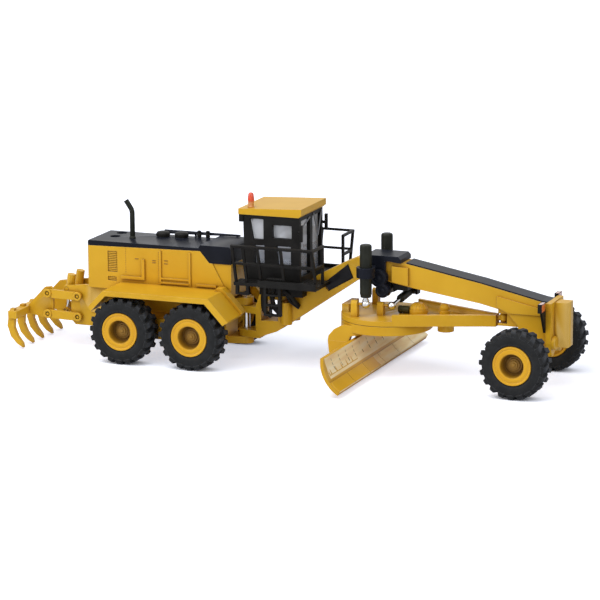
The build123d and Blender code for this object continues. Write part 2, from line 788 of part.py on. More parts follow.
def make_front_axle():
    x, y = front_axle_x, kingpin_y
    low, high = axle_z - axle_half_height, axle_z + axle_half_height
    beam = block((x - axle_half_width, x + axle_half_width), (-y, y), (low, high))
    end = upright(shaft, x, -y, low, high, axle_half_width)
    slot = block((x - 2 * axle_half_width, x + 2 * axle_half_width),
                 (-y - 2 * axle_half_width, -y + fork_depth),
                 (axle_z - fork_gap / 2, axle_z + fork_gap / 2))
    hole = upright(bore, x, -y, low - overshoot, high + overshoot, kingpin_radius + running_gap)
    pad_x, pad_y = axle_pad
    pad = block((x - pad_x, x + pad_x), (-pad_y, pad_y), (axle_z, bolster_floor_z))
    return cut(join(beam, pad, *pair(end)), *pair(slot), *pair(hole))


def make_knuckle():
    x, y = front_axle_x, -kingpin_y
    half = fork_gap / 2 - running_gap
    arm_x = x - steering_arm
    low, high = axle_z - arm_half, axle_z + arm_half
    hub = upright(shaft, x, y, axle_z - half, axle_z + half, axle_half_width)
    pin = upright(shaft, x, y, axle_z - axle_half_height, axle_z + axle_half_height,
                  kingpin_radius)
    spindle = cross(round_shaft, x, axle_z, -spindle_end_y, y, spindle_radius)
    arm = block((arm_x, x), (y - arm_half, y + arm_half), (low, high))
    eye = upright(shaft, arm_x, y, low, high, 2 * arm_half)
    hole = upright(bore, arm_x, y, low - overshoot, high + overshoot,
                   tie_pin_radius + running_gap)
    return join(hub, pin, spindle, arm, eye) - hole


def make_tie_rod():
    x, y = front_axle_x - steering_arm, -kingpin_y
    low = axle_z + arm_half + running_gap
    bar = block((x - arm_half, x + arm_half), (y, -y), (low, low + tie_rod_thick))
    end = upright(shaft, x, y, low, low + tie_rod_thick, 1.6 * arm_half)
    pin = upright(shaft, x, y, axle_z - arm_half, low, tie_pin_radius)
    return join(bar, *pair(end), *pair(pin))


def save_front_axle():
    save("front_axle", make_front_axle())
    for side, knuckle in zip(("right", "left"), pair(make_knuckle())):
        save(f"knuckle_{side}", knuckle)
    save("tie_rod", make_tie_rod())


# Cab

def cab_outline(inset, z_low, z_high):
    slope = (cab_back_x - cab_back_foot_x) / (cab_top_z - cab_floor_z)
    back = [(cab_back_foot_x + slope * (z - cab_floor_z) + inset, z) for z in (z_low, z_high)]
    return [back[0], (cab_front_x - inset, z_low), (cab_front_x - inset, z_high), back[1]]


def make_cab_shell():
    half = cab_half_width
    inner_half = half - cab_wall
    reach = 2 * cab_wall
    shell = side_prism(cab_outline(0, cab_floor_z, cab_top_z), -half, half)
    room = side_prism(cab_outline(cab_wall, cab_floor_z + cab_floor_thick, cab_top_z + overshoot),
                      -inner_half, inner_half)
    windows = [side_prism(pane, -half - reach, half + reach) for pane in side_panes]
    front = block((cab_front_x - reach, cab_front_x + reach), (-inner_half, -front_post),
                  front_pane_z)
    back = block((cab_back_x - reach, cab_back_x + reach), (-back_pane_y, back_pane_y),
                 back_pane_z)
    shell = cut(shell, room, *windows, *pair(front), back)
    visor_half = roof_half_width - visor_trim
    visor = block((roof_back_x, cab_back_x + end_gap), (-visor_half, visor_half),
                  (visor_floor_z, cab_top_z))
    near, far = mirror_y
    glass_x = cab_front_x + mirror_thick / 2
    glass = block((glass_x, glass_x + mirror_thick), (-far, -near), mirror_z)
    stalk_z = sum(mirror_z) / 2
    stalk = block((glass_x - mirror_thick, glass_x + mirror_thick / 2), (-near, -half),
                  (stalk_z - mirror_stalk, stalk_z + mirror_stalk))
    return join(shell, visor, *pair(join(glass, stalk)))


def make_glazing():
    gap = cab_wall + glass_gap
    low, high = cab_floor_z + cab_floor_thick, cab_top_z - glass_gap
    half = cab_half_width - gap
    outer = side_prism(cab_outline(gap, low, high), -half, half)
    core = side_prism(cab_outline(gap + glass_thick, low - overshoot, high + overshoot),
                      glass_thick - half, half - glass_thick)
    return outer - core


def make_cab_interior():
    floor = cab_floor_z + cab_floor_thick
    half = seat_half_width
    seat = block(seat_x, (-half, half), (floor, floor + seat_height))
    rest = side_prism([(x, floor + z) for x, z in seat_back], -half, half)
    panel = side_prism([(x, floor + z) for x, z in console], -console_half_width,
                       console_half_width)
    return [seat + rest, panel]


def make_roof():
    outline = [(roof_back_x, cab_top_z), (cab_front_x, cab_top_z),
               (roof_front_x, cab_top_z + roof_brow), (roof_front_x, roof_front_z),
               (roof_back_x, roof_back_z)]
    return side_prism(outline, -roof_half_width, roof_half_width)


def make_beacon():
    seat_z = height_on([(roof_back_x, roof_back_z), (roof_front_x, roof_front_z)],
                       beacon_x + beacon_radius)
    base = upright(shaft, beacon_x, beacon_y, seat_z, seat_z + beacon_base, beacon_radius)
    lens = dome(beacon_x, beacon_y, seat_z + beacon_base, beacon_height - beacon_base,
                beacon_radius * 0.85, beacon_taper)
    return base + lens


def make_deck():
    side = block((deck_back_x, deck_front_x), (-deck_outer_y, -cab_half_width),
                 (cab_floor_z, deck_top_z))
    front = block((cab_front_x, deck_front_x), (-cab_half_width, -beam_half_width),
                  (cab_floor_z, deck_top_z))
    toe = block((toe_back_x, deck_front_x), (-deck_outer_y - toe_thick, -deck_outer_y),
                (cab_floor_z, cab_floor_z + toe_height))
    step_y = (-deck_outer_y, ladder_depth - deck_outer_y)
    rungs = []
    for first, last, foot in ladders:
        rungs += [block((x, x + stile_thick), step_y, (foot, cab_floor_z)) for x in (first, last)]
        count = int((cab_floor_z - foot) / tread_rise) + 1
        rungs += [block((first, last + stile_thick), step_y, (z, z + tread_thick))
                  for z in [foot + i * tread_rise for i in range(count)]]
    return join(side, front, toe, *rungs)


def make_handrail():
    # the long frame leans outwards from its feet on the deck; a short one turns inwards
    # at its front end
    first, last = rail_posts[0], rail_posts[-1]
    rise, lean = rail_top_z - deck_top_z, rail_outer_y - rail_foot_y
    height = hypot(rise, lean)
    half = rail_thick / 2
    middle = height * (rail_mid_z - deck_top_z) / rise
    plane = Plane(origin=(0, -rail_foot_y, deck_top_z), x_dir=(1, 0, 0), z_dir=(0, -rise, -lean))
    uprights = [Pos(x, (height - overshoot) / 2) * Rectangle(rail_thick, height + overshoot)
                for x in rail_posts]
    runs = [Pos((first + last) / 2, v) * Rectangle(last - first + rail_thick, rail_thick)
            for v in (middle, height - half)]
    sketch = uprights[0] + uprights[1:] + runs
    frame = extrude(plane * sketch, amount=half, both=True)
    below = block((first - rail_thick, last + rail_thick), (-rail_outer_y, -rail_inner_y),
                  (deck_top_z - 2 * overshoot, deck_top_z))
    x_span = (last - half, last + half)
    inner = block(x_span, (-rail_inner_y - half, half - rail_inner_y), (deck_top_z, rail_top_z))
    mid_y = rail_foot_y + lean * (rail_mid_z - deck_top_z) / rise
    bars = [block(x_span, (-y, -rail_inner_y), (z - rail_thick, z))
            for y, z in ((rail_outer_y, rail_top_z), (mid_y, rail_mid_z))]
    return join(frame - below, inner, *bars)


def make_underwork():
    # box under the cab, with the moulded hoses down to the frame
    box = block(underwork_x, (-underwork_y, -beam_half_width), (underwork_floor_z, cab_floor_z))
    hoses = [shaft(a, b, hose_radius) for run in hose_runs for a, b in zip(run, run[1:])]
    return join(box, *hoses)


def save_cab():
    save("cab_shell", make_cab_shell())
    save("cab_roof", make_roof())
    save("cab_glazing", make_glazing())
    save("cab_interior", *make_cab_interior())
    save("beacon", make_beacon())
    save("decks", *pair(make_deck()))
    save("handrails", *pair(make_handrail()))
    save("cab_underwork", *pair(make_underwork()))


# Saddle and cylinders

def make_saddle():
    back, front = saddle_x
    plate_top = beam_top[1][1] + saddle_thick
    cheek_y = beam_half_width + saddle_wall
    top = side_prism([*stretch_of(beam_crest, back, front), (front, plate_top - saddle_nose),
                      (front - saddle_nose, plate_top), (back, plate_top)], -cheek_y, cheek_y)
    cheek = block((back, saddle_cheek_x), (-cheek_y, -beam_half_width),
                  (saddle_floor_z, plate_top))
    ring_bore = lift_radius + ring_gap
    ring_radius = ring_bore + ring_wall
    low, high = lift_pivot_z - ring_half_height, lift_pivot_z + ring_half_height
    arm = block((lift_x - ring_arm_half, lift_x + ring_arm_half), (-lift_y, -cheek_y),
                (low + ring_arm_trim, high - ring_arm_trim))
    ring = upright(shaft, lift_x, -lift_y, low, high, ring_radius)
    hole = upright(bore, lift_x, -lift_y, low - overshoot, high + overshoot, ring_bore)
    inward, outward = ring_pin_sink
    pin_ends = (lift_radius - inward, ring_radius - outward)
    pins = [cross(shaft, lift_x, lift_pivot_z, *sorted((side * end - lift_y for end in pin_ends)),
                  trunnion_radius) for side in (-1, 1)]
    yoke = join((arm + ring) - hole, *pins)
    return join(top, *pair(cheek), *pair(yoke))


def make_saddle_link():
    link = side_prism([*stretch_of(beam_belly, *link_x), *link_foot], -link_half_width,
                      link_half_width)
    # fork for the centre-shift cylinder, on an arm under the beam
    x, y, z = shift_pivot
    inner = shift_radius + fork_inner_gap
    outer = inner + fork_cheek_thick
    floor, shelf_z = fork_shelf_z
    arm = side_prism([*stretch_of(beam_belly, x - outer, x + outer), (x + outer, floor),
                      (x - outer, floor)], fork_back_y, beam_half_width)
    back, front = fork_cheek_y
    shelf = block((x - outer, x + outer), (fork_back_y, y + front), (floor, shelf_z))
    cheeks = [block((x + a, x + b), (y - back, y + front), (z - fork_cheek_drop, floor))
              for a, b in ((-outer, -inner), (inner, outer))]
    pin = shaft((x - outer, y, z), (x + outer, y, z), cross_pin_radius)
    return [link, join(arm, shelf, *cheeks, pin)]


def make_lift_barrel():
    barrel = upright(shaft, lift_x, -lift_y, lift_foot_z, lift_top_z, lift_radius)
    hole = upright(bore, lift_x, -lift_y, lift_foot_z - overshoot,
                   lift_foot_z + lift_bore_depth, lift_rod_radius + running_gap)
    half = trunnion_bore_half
    cross_hole = cross(bore, lift_x, lift_pivot_z, -lift_y - half, -lift_y + half,
                       trunnion_radius + running_gap)
    return cut(barrel, hole, cross_hole)


def make_lift_rod():
    rod = upright(shaft, lift_x, -lift_y, lift_eye_z, lift_foot_z + lift_seat, lift_rod_radius)
    end = ball(lift_x, -lift_y, lift_eye_z, lift_ball_radius)
    hole = bore((lift_x - 2 * lift_ball_radius, -lift_y, lift_eye_z), (lift_x, -lift_y, lift_eye_z),
                ball_bore_radius)
    return (rod + end) - hole


def make_shift_barrel():
    x, y, z = shift_pivot
    eye = shaft((x - shift_radius, y, z), (x + shift_radius, y, z), shift_radius)
    barrel = shaft(shift_pivot, between(shift_pivot, shift_eye, shift_barrel_share), shift_radius)
    reach = 2 * shift_radius
    hole = bore((x - reach, y, z), (x + reach, y, z), cross_pin_radius + running_gap)
    return (eye + barrel) - hole


def make_shift_rod():
    x, y, z = shift_eye
    rod = shaft(between(shift_pivot, shift_eye, shift_barrel_share), shift_eye, shift_rod_radius)
    hole = bore((x - 2 * shift_radius, y, z), (x, y, z), shift_bore_radius)
    return (rod + ball(x, y, z, shift_radius)) - hole


def save_cylinders():
    save("saddle", make_saddle())
    save("saddle_link", *make_saddle_link())
    for side, barrel, rod in zip(("right", "left"), pair(make_lift_barrel()),
                                 pair(make_lift_rod())):
        save(f"lift_barrel_{side}", barrel)
        save(f"lift_rod_{side}", rod)
    save("shift_barrel", make_shift_barrel())
    save("shift_rod", make_shift_rod())


# Drawbar, circle and blade

def drawbar_outline(inset):
    half = [(x, y - inset) for x, y in drawbar_side]
    return [(x, -y) for x, y in half] + list(reversed(half))


def ball_post(eye, ball_size):
    # round-topped post on the drawbar behind a rod's ball, with the ball's stud
    x, y, z = eye
    front = x - ball_size - post_gap
    back = front - post_thick
    half = post_width / 2
    foot = drawbar_top_z - seat_overlap
    crown = half_round((y, z), half, pi / 2)
    slab = front_prism([(y - half, foot), (y + half, foot), *crown], back, front)
    return slab + shaft((front, y, z), (x - ball_size + stud_sink, y, z), ball_stud_radius)


def make_drawbar():
    low, top = drawbar_floor_z, drawbar_top_z
    disc = upright(shaft, circle_x, 0, low, top, circle_radius)
    hull = plan_prism(drawbar_outline(0), low, top)
    flanges = plan_prism(drawbar_outline(0), low, drawbar_side_z)
    trough = plan_prism(drawbar_outline(drawbar_side_thick), top, drawbar_side_z + overshoot)
    opening = plan_prism([(ball_x - back, y) for back, y in drawbar_opening],
                         low - overshoot, top + overshoot)
    neck = shaft((drawbar_side[-1][0] - ball_radius, 0, drawbar_side_z - ball_radius),
                 (ball_x, 0, ball_z), ball_neck_radius)
    foot = top - seat_overlap
    stop = block(drawbar_stop_x, (-drawbar_stop_y, drawbar_stop_y), (foot, drawbar_stop_z))
    drums = [upright(shaft, x, 0, foot, z, r) for x, r, z in drawbar_drums]
    pinion_box = upright(shaft, pinion_box_x, 0, circle_floor_z, low + seat_overlap,
                         pinion_box_radius)
    lift_post = ball_post((lift_x, -lift_y, lift_eye_z), lift_ball_radius)
    shift_post = ball_post(shift_eye, shift_radius)
    frame = cut(join(hull, flanges), trough, opening)
    return join(disc, frame, neck, ball(ball_x, 0, ball_z, ball_radius), stop, *drums,
                pinion_box, *pair(lift_post), shift_post)


def make_circle_motor():
    axis_z = drawbar_top_z + motor_radius
    back, front = motor_x
    return shaft((back, 0, axis_z), (front, 0, axis_z), motor_radius)


def make_circle():
    ring = upright(shaft, circle_x, 0, circle_floor_z, circle_top_z, circle_radius)
    ring -= upright(round_shaft, circle_x, 0, circle_floor_z - overshoot,
                    circle_top_z + overshoot, circle_bore)
    low, high = circle_arm_y
    return join(ring, *pair(side_prism(circle_arm, -high, -low)))


def blade_strip(share_span, depth_span, y_low, y_high):
    # share runs down the blade's arc from 0 at its top to 1 at its foot; depth is measured
    # from the front face to the rear
    (xa, za), (xb, zb) = blade_top, blade_foot
    chord = hypot(xb - xa, zb - za)
    radius = chord ** 2 / (8 * blade_sag) + blade_sag / 2
    half = atan2(chord / 2, radius - blade_sag)
    down = ((xb - xa) / chord, (zb - za) / chord)
    ahead = (-down[1], down[0])
    centre = [(a + b) / 2 + n * (radius - blade_sag)
              for a, b, n in zip(blade_top, blade_foot, ahead)]

    def spot(share, depth):
        turn = (2 * share - 1) * half
        return tuple(c + (radius + depth) * (d * sin(turn) - n * cos(turn))
                     for c, d, n in zip(centre, down, ahead))

    first, last = share_span
    front, rear = [[spot(s, depth) for s in (first, (first + last) / 2, last)]
                   for depth in depth_span]
    edge = (ThreePointArc(*front) + Line(front[2], rear[2]) + ThreePointArc(*reversed(rear))
            + Line(rear[0], front[0]))
    face = make_face(Plane.XZ * edge)
    return Pos(0, y_low, 0) * extrude(face, amount=y_high - y_low, dir=(0, 1, 0))


def make_moldboard():
    shell = blade_strip((0, 1), (0, blade_thick), -blade_half_length, blade_half_length)
    ahead = blade_strip((-arc_overrun, 1 + arc_overrun), (-blade_top[1], blade_thick / 2),
                        -blade_half_length, blade_half_length)
    low, high = circle_arm_y
    return join(shell, *pair(side_prism(blade_bracket, -high, -low) - ahead))


def make_cutting_edge():
    share = edge_height / (blade_top[1] - blade_foot[1])
    piece = 2 * blade_half_length / edge_pieces
    starts = [-blade_half_length + i * piece for i in range(edge_pieces)]
    return [blade_strip((1 - share, 1), (-edge_thick, 0), y + edge_groove / 2,
                        y + piece - edge_groove / 2) for y in starts]


def save_blade():
    save("drawbar", make_drawbar())
    save("circle_motor", make_circle_motor())
    save("circle", make_circle())
    save("moldboard", make_moldboard())
    save("cutting_edge", *make_cutting_edge())


# Ripper

def make_ripper_link(z, tie):
    root = (ripper_x, z)
    tip = (ripper_x - ripper_reach, z + ripper_rise)
    low, high = ripper_link_y
    plate = strap(root, tip, ripper_link_radius, -high, -low)
    holes = [cross(bore, *spot, -high - overshoot, overshoot - low,
                   ripper_pin_radius + running_gap) for spot in (root, tip)]
    bar = cross(shaft, *tie, -high, high, cross_pin_radius)
    return join(bar, *pair(cut(plate, *holes)))


def make_ripper_beam():
    low, high = ripper_cheek_y
    plate = side_prism(beam_plate, -high, -low)
    pins = [cross(shaft, *spot, -ripper_link_y[1] - end_gap, -high, ripper_pin_radius)
            for spot in (ripper_top_pin, ripper_low_pin)]
    half = (tine_count - 1) / 2 * tine_pitch
    beam = block(beam_bar_x, (-half - tine_thick, half + tine_thick), beam_bar_z)
    tines = [side_prism(tine_outline, i * tine_pitch - half - tine_thick / 2,
                        i * tine_pitch - half + tine_thick / 2) for i in range(tine_count)]
    return join(beam, *tines, *pair(join(plate, *pins)))


def ripper_spot(along):
    # point on the right-hand ripper cylinder's axis, measured down from its trunnion
    (tx, tz), (ex, ez) = ripper_trunnion, ripper_eye
    reach = hypot(ex - tx, ez - tz)
    return (tx + (ex - tx) * along / reach, -ripper_cylinder_y, tz + (ez - tz) * along / reach)


def make_ripper_barrels():
    up, down = ripper_barrel_span
    barrel = shaft(ripper_spot(-up), ripper_spot(down), ripper_barrel_radius)
    hole = bore(ripper_spot(down - ripper_bore_depth), ripper_spot(down + overshoot),
                ripper_rod_radius + running_gap)
    near, far = ripper_cylinder_y - ripper_barrel_pin, ripper_cylinder_y + ripper_barrel_pin
    trunnions = [cross(shaft, *ripper_trunnion, low, high, ripper_pin_radius)
                 for low, high in ((-ripper_cheek_y[1], -far), (-near, 0))]
    return join(barrel - hole, *trunnions)


def make_ripper_rod():
    x, z = ripper_eye
    y = -ripper_cylinder_y
    reach = hypot(x - ripper_trunnion[0], z - ripper_trunnion[1])
    rod = shaft(ripper_spot(ripper_barrel_span[1] - ripper_rod_overlap), ripper_spot(reach),
                ripper_rod_radius)
    half = ripper_eye_half
    eye = cross(shaft, x, z, y - half, y + half, ripper_eye_radius)
    return (rod + eye) - cross(bore, x, z, y - 2 * half, y + 2 * half, ripper_eye_bore)


def save_ripper():
    save("ripper_lower_link", make_ripper_link(ripper_low_z, ripper_eye))
    save("ripper_upper_link", make_ripper_link(ripper_top_z, ripper_tie))
    save("ripper_beam", make_ripper_beam())
    save("ripper_barrels", join(*pair(make_ripper_barrels())))
    save("ripper_rods", *pair(make_ripper_rod()))


save_wheels()
save_rear_frame()
save_front_frame()
save_front_axle()
save_cab()
save_cylinders()
save_blade()
save_ripper()
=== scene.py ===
from math import cos, pi, radians, sin

import bmesh
import bpy
from mathutils import Matrix, Vector


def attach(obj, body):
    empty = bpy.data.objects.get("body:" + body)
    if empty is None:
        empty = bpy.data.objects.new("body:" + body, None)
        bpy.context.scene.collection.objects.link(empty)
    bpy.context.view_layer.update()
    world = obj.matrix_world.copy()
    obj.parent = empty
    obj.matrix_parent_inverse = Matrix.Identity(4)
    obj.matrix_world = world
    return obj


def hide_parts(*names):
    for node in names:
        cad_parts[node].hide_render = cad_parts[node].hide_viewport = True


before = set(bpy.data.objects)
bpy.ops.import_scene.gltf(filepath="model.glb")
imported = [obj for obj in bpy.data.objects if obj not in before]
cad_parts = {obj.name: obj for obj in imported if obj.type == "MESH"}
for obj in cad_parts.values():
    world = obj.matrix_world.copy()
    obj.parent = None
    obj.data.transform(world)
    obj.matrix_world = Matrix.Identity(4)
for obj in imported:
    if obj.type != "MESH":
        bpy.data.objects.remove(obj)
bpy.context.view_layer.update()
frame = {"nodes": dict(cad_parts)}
mm = 0.001
stationShift = 0.85  # mm, from the part's own stations to the frame's X
bothSides = (("Right", -1), ("Left", 1))


def at(x, y, z):
    # a place on the model, in millimetres of the part's own stations
    return Vector(((x - stationShift) * mm, y * mm, z * mm))


# the camera stands where the photograph was taken from
camera = {"place": (248.17, -613.05, 162.1), "target": (2.49, 0.0, 14.09), "roll": -0.343,
          "lens": 185.0, "sensor": 36.0}


def placeCamera():
    data = bpy.data.cameras.new("camera")
    data.lens = camera["lens"]
    data.sensor_width = camera["sensor"]
    data.sensor_height = camera["sensor"]
    data.clip_start = 0.01
    data.clip_end = 50
    holder = bpy.data.objects.new("camera", data)
    bpy.context.scene.collection.objects.link(holder)
    place = Vector(camera["place"]) * mm
    back = (place - Vector(camera["target"]) * mm).normalized()
    right = Vector((0, 0, 1)).cross(back).normalized()
    up = back.cross(right)
    roll = radians(camera["roll"])
    turn = Matrix((right * cos(roll) + up * sin(roll), up * cos(roll) - right * sin(roll), back))
    holder.matrix_world = Matrix.Translation(place) @ turn.transposed().to_4x4()
    bpy.context.scene.camera = holder


placeCamera()
print("camera placed")


def linearColour(hexText):
    # sRGB hex to the linear numbers that shaders take
    parts = [int(hexText[i:i + 2], 16) / 255 for i in (1, 3, 5)]
    return [p / 12.92 if p <= 0.04045 else ((p + 0.055) / 1.055) ** 2.4 for p in parts] + [1.0]


def addNode(tree, kind, settings=(), links=(), output=0):
    # settings are the node's own values; links are its inputs: a socket, a list of sockets, a
    # plain value or a colour in hex; what comes back is one output, or with None the node
    node = tree.nodes.new(kind)
    for name, value in dict(settings).items():
        if name == "stops":
            ramp = node.color_ramp
            while len(ramp.elements) < len(value):
                ramp.elements.new(0.5)
            for element, (place, shade) in zip(ramp.elements, value):
                element.position = place
                element.color = linearColour(shade)
        else:
            setattr(node, name, value)
    for name, value in dict(links).items():
        if isinstance(value, (bpy.types.NodeSocket, list)):
            for socket in value if isinstance(value, list) else [value]:
                tree.links.new(socket, node.inputs[name])
        else:
            plain = linearColour(value) if isinstance(value, str) else value
            node.inputs[name].default_value = plain
    return node if output is None else node.outputs[output]


colours = {"data_type": "RGBA"}
times = {"operation": "MULTIPLY"}
larger = {"operation": "MAXIMUM"}
remainder = {"operation": "FRACT"}


def newMaterial(name):
    material = bpy.data.materials.new(name)
    material.use_nodes = True
    material.node_tree.nodes.clear()
    return material, material.node_tree


def surfaced(material, surface):
    # surface goes by the shader's socket names; its plain values are the same all over
    tree = material.node_tree
    shader = addNode(tree, "ShaderNodeBsdfPrincipled", links=surface)
    addNode(tree, "ShaderNodeOutputMaterial", links={"Surface": shader}, output=None)
    return material


def coated(tree, shade, *coats):
    # colours laid one over the other, each where its own mask is
    for mask, coat in coats:
        shade = addNode(tree, "ShaderNodeMix", colours, {0: mask, 6: shade, 7: coat}, 2)
    return shade


def roundedEdges(tree, radius, share=1.0):
    # the soft edge that paint or a mould leaves, and a mask of where it is
    bevel = addNode(tree, "ShaderNodeBevel", {"samples": 4}, {"Radius": radius * mm})
    true = addNode(tree, "ShaderNodeNewGeometry", output="True Normal")
    agree = addNode(tree, "ShaderNodeVectorMath", {"operation": "DOT_PRODUCT"},
                    {0: bevel, 1: true}, "Value")
    mask = addNode(tree, "ShaderNodeMapRange", links={
        "Value": agree, "From Min": 0.99, "From Max": 0.8, "To Max": share})
    return bevel, mask


def blotches(tree, size, detail=2.0):
    # soft noise whose blotches are about size millimetres across
    place = addNode(tree, "ShaderNodeTexCoord", output="Object")
    return addNode(tree, "ShaderNodeTexNoise", links={
        "Vector": place, "Scale": 1 / (size * mm), "Detail": detail})


def clouds(tree, size, low, high, most, least=0.0, detail=2.0):
    # the same blotches with their middle range stretched from least to most
    return addNode(tree, "ShaderNodeMapRange", links={
        "Value": blotches(tree, size, detail), "From Min": low, "From Max": high,
        "To Min": least, "To Max": most})


def grained(tree, size, depth, normal):
    # relief of a grain about size millimetres across and depth millimetres deep
    return addNode(tree, "ShaderNodeBump", links={
        "Distance": depth * mm, "Height": blotches(tree, size), "Normal": normal})


def band(tree, value, low, high, soft):
    # 1 where a value lies between two limits, fading over soft outside them
    rise = addNode(tree, "ShaderNodeMapRange", links={
        "Value": value, "From Min": low - soft, "From Max": low})
    fall = addNode(tree, "ShaderNodeMapRange", links={
        "Value": value, "From Min": high + soft, "From Max": high})
    return addNode(tree, "ShaderNodeMath", times, {0: rise, 1: fall})


def heightShare(tree, low, high):
    # 0 at a low height on the model and 1 at a high one, in millimetres
    place = addNode(tree, "ShaderNodeTexCoord", output="Object")
    height = addNode(tree, "ShaderNodeSeparateXYZ", links={"Vector": place}, output="Z")
    return addNode(tree, "ShaderNodeMapRange", links={
        "Value": height, "From Min": low * mm, "From Max": high * mm})


def axleDistance(tree, x, z):
    # how far a spot is from the axle of its own wheel, in metres
    place = addNode(tree, "ShaderNodeTexCoord", output="Object")
    centred = addNode(tree, "ShaderNodeMapping", {"vector_type": "POINT"}, {
        "Vector": place, "Location": (-x, 0, -z), "Scale": (1, 0, 1)})
    return addNode(tree, "ShaderNodeVectorMath", {"operation": "LENGTH"}, {0: centred}, "Value")


# sprayed enamel on die-cast zinc: an even satin gloss with a faint orange peel, a pale painted
# highlight on its edges and a brown painted shade in its corners; the two ranges after the
# corner distance are how open a spot is where the painted shade and the painted highlight start
# and end, and how strong they get
enamel = {"pale": "#F0CB7C", "cornerShade": "#8A5210", "edge": 0.13, "blotch": 9.0, "peel": 0.35,
          "peelDepth": 0.003, "roughness": 0.36, "gloss": 0.22,
          "corner": 2.0, "shadeInCorners": (0.88, 0.3, 0.8), "openToLight": (0.7, 0.9, 0.65)}


def enamelShade(tree, face, dull):
    # the enamel's colour, with its painted shade and painted highlight, and its soft normal
    edge, edgeMask = roundedEdges(tree, enamel["edge"])
    shelter = addNode(tree, "ShaderNodeAmbientOcclusion", {"samples": 6}, {
        "Distance": enamel["corner"] * mm}, "AO")
    shadeInCorners, openToLight = [addNode(tree, "ShaderNodeMapRange", links={
        "Value": shelter, "From Min": low, "From Max": high, "To Max": most})
        for low, high, most in (enamel["shadeInCorners"], enamel["openToLight"])]
    coat = addNode(tree, "ShaderNodeValToRGB", {"stops": [(0.3, dull), (0.7, face)]},
                   {"Fac": blotches(tree, enamel["blotch"])})
    # a pale painted highlight on the open edges, over a brown painted shade where corners close
    # in
    highlightedEdge = addNode(tree, "ShaderNodeMath", times, {0: edgeMask, 1: openToLight})
    shade = coated(tree, coat, (shadeInCorners, enamel["cornerShade"]), (highlightedEdge, enamel["pale"]))
    return shade, grained(tree, enamel["peel"], enamel["peelDepth"], edge)


def sprayedEnamel(name, face, dull):
    material, tree = newMaterial(name)
    shade, normal = enamelShade(tree, face, dull)
    return surfaced(material, {
        "Base Color": shade, "Normal": normal, "Roughness": enamel["roughness"],
        "Specular IOR Level": enamel["gloss"], "IOR": 1.5})


# tampo print over the enamel of the blade: a thin matt ink that stands for bare worn steel, tan
# with fine pale scratches, dark dashes and a toothed lower border; front is how far forward a
# face looks where the print starts and where it is full
bladePrint = {"inks": [(0.36, "#EECF9A"), (0.5, "#F6DEAA"), (0.66, "#FBEBC6")],
              "mark": "#5E4420", "enamel": ("#DBA927", "#CE9B20"), "front": (0.15, 0.3),
              "scratch": 1.2, "stretch": 0.12, "roughness": (0.34, 0.55), "gloss": 0.25}


def printedEnamel(name, marksOf):
    # marksOf gives the printed area and its dark marks, from places across and up the blade
    material, tree = newMaterial(name)
    shade, normal = enamelShade(tree, *bladePrint["enamel"])
    place = addNode(tree, "ShaderNodeTexCoord", output=None).outputs
    spot = addNode(tree, "ShaderNodeSeparateXYZ", links={"Vector": place["Object"]},
                   output=None).outputs
    across, height = [addNode(tree, "ShaderNodeMath", times, {0: spot[axis], 1: 1 / mm})
                      for axis in ("Y", "Z")]
    facing = addNode(tree, "ShaderNodeSeparateXYZ", links={"Vector": place["Normal"]})
    front = addNode(tree, "ShaderNodeMapRange", links={
        "Value": facing, "From Min": bladePrint["front"][0],
        "From Max": bladePrint["front"][1]})
    stretched = addNode(tree, "ShaderNodeMapping", links={
        "Vector": place["Object"], "Scale": (1, bladePrint["stretch"], 1)})
    streaks = addNode(tree, "ShaderNodeTexNoise", links={
        "Vector": stretched, "Scale": 1 / (bladePrint["scratch"] * mm), "Detail": 3.0})
    ink = addNode(tree, "ShaderNodeValToRGB", {"stops": bladePrint["inks"]}, {"Fac": streaks})
    area, marks = marksOf(tree, across, height)
    area = addNode(tree, "ShaderNodeMath", times, {0: area, 1: front})
    inked = coated(tree, ink, (marks, bladePrint["mark"]))
    matt = addNode(tree, "ShaderNodeMapRange", links={
        "Value": area, "To Min": bladePrint["roughness"][0],
        "To Max": bladePrint["roughness"][1]})
    return surfaced(material, {
        "Base Color": coated(tree, shade, (area, inked)), "Roughness": matt, "Normal": normal,
        "Specular IOR Level": bladePrint["gloss"], "IOR": 1.5})


# print of the cutting edge: its first strip stays yellow, and a comb of faint strokes stands
# where the print begins; spans are from, to and softness, in millimetres
edgeMarks = {"area": (-2.8, 30, 0.05), "line": (1.0, 1.75, 0.06), "strokesPerMm": 1.9,
             "stroke": (0.1, 0.3, 0.12), "reach": (-4.3, 1.2, 0.4), "height": (3.2, 4.4, 0.15),
             "strength": 0.5}


def marksOfEdge(tree, across, height):
    strokes = addNode(tree, "ShaderNodeMath", times, {0: across, 1: edgeMarks["strokesPerMm"]})
    strokes = addNode(tree, "ShaderNodeMath", remainder, {0: strokes})
    marks = band(tree, strokes, *edgeMarks["stroke"])
    for mask in (band(tree, across, *edgeMarks["reach"]),
                 band(tree, height, *edgeMarks["height"]), edgeMarks["strength"]):
        marks = addNode(tree, "ShaderNodeMath", times, {0: marks, 1: mask})
    area = addNode(tree, "ShaderNodeMath", larger, {
        0: band(tree, across, *edgeMarks["area"]), 1: band(tree, height, *edgeMarks["line"])})
    return area, marks


# print of the blade, slanted by its lean: yellow teeth stand up into the lower border, a pale
# line runs round the near end and the foot, and rows of dashes fade upwards
bladeMarks = {"lean": 0.55, "area": (-22.6, 60, 0.25), "height": (4.4, 12, 0.12),
              "toothPitch": 3.1, "toothFlank": (0.78, 0.96), "toothHeight": (4.6, 5.7),
              "teeth": (-25.4, -9.5, 0.3),
              "endLine": ((-26.1, -25.88, 0.08), (3.95, 8.0, 0.1)),
              "footLine": ((-26.1, 40, 0.1), (3.95, 4.37, 0.1)),
              "dashPitch": 4.2, "dash": (0.4, 0.45, 0.03), "patch": 2.2,
              "dashRows": [((5.0, 5.7, 0.12), 0.85), ((6.1, 6.6, 0.12), 0.6),
                           ((7.1, 7.6, 0.12), 0.5)]}


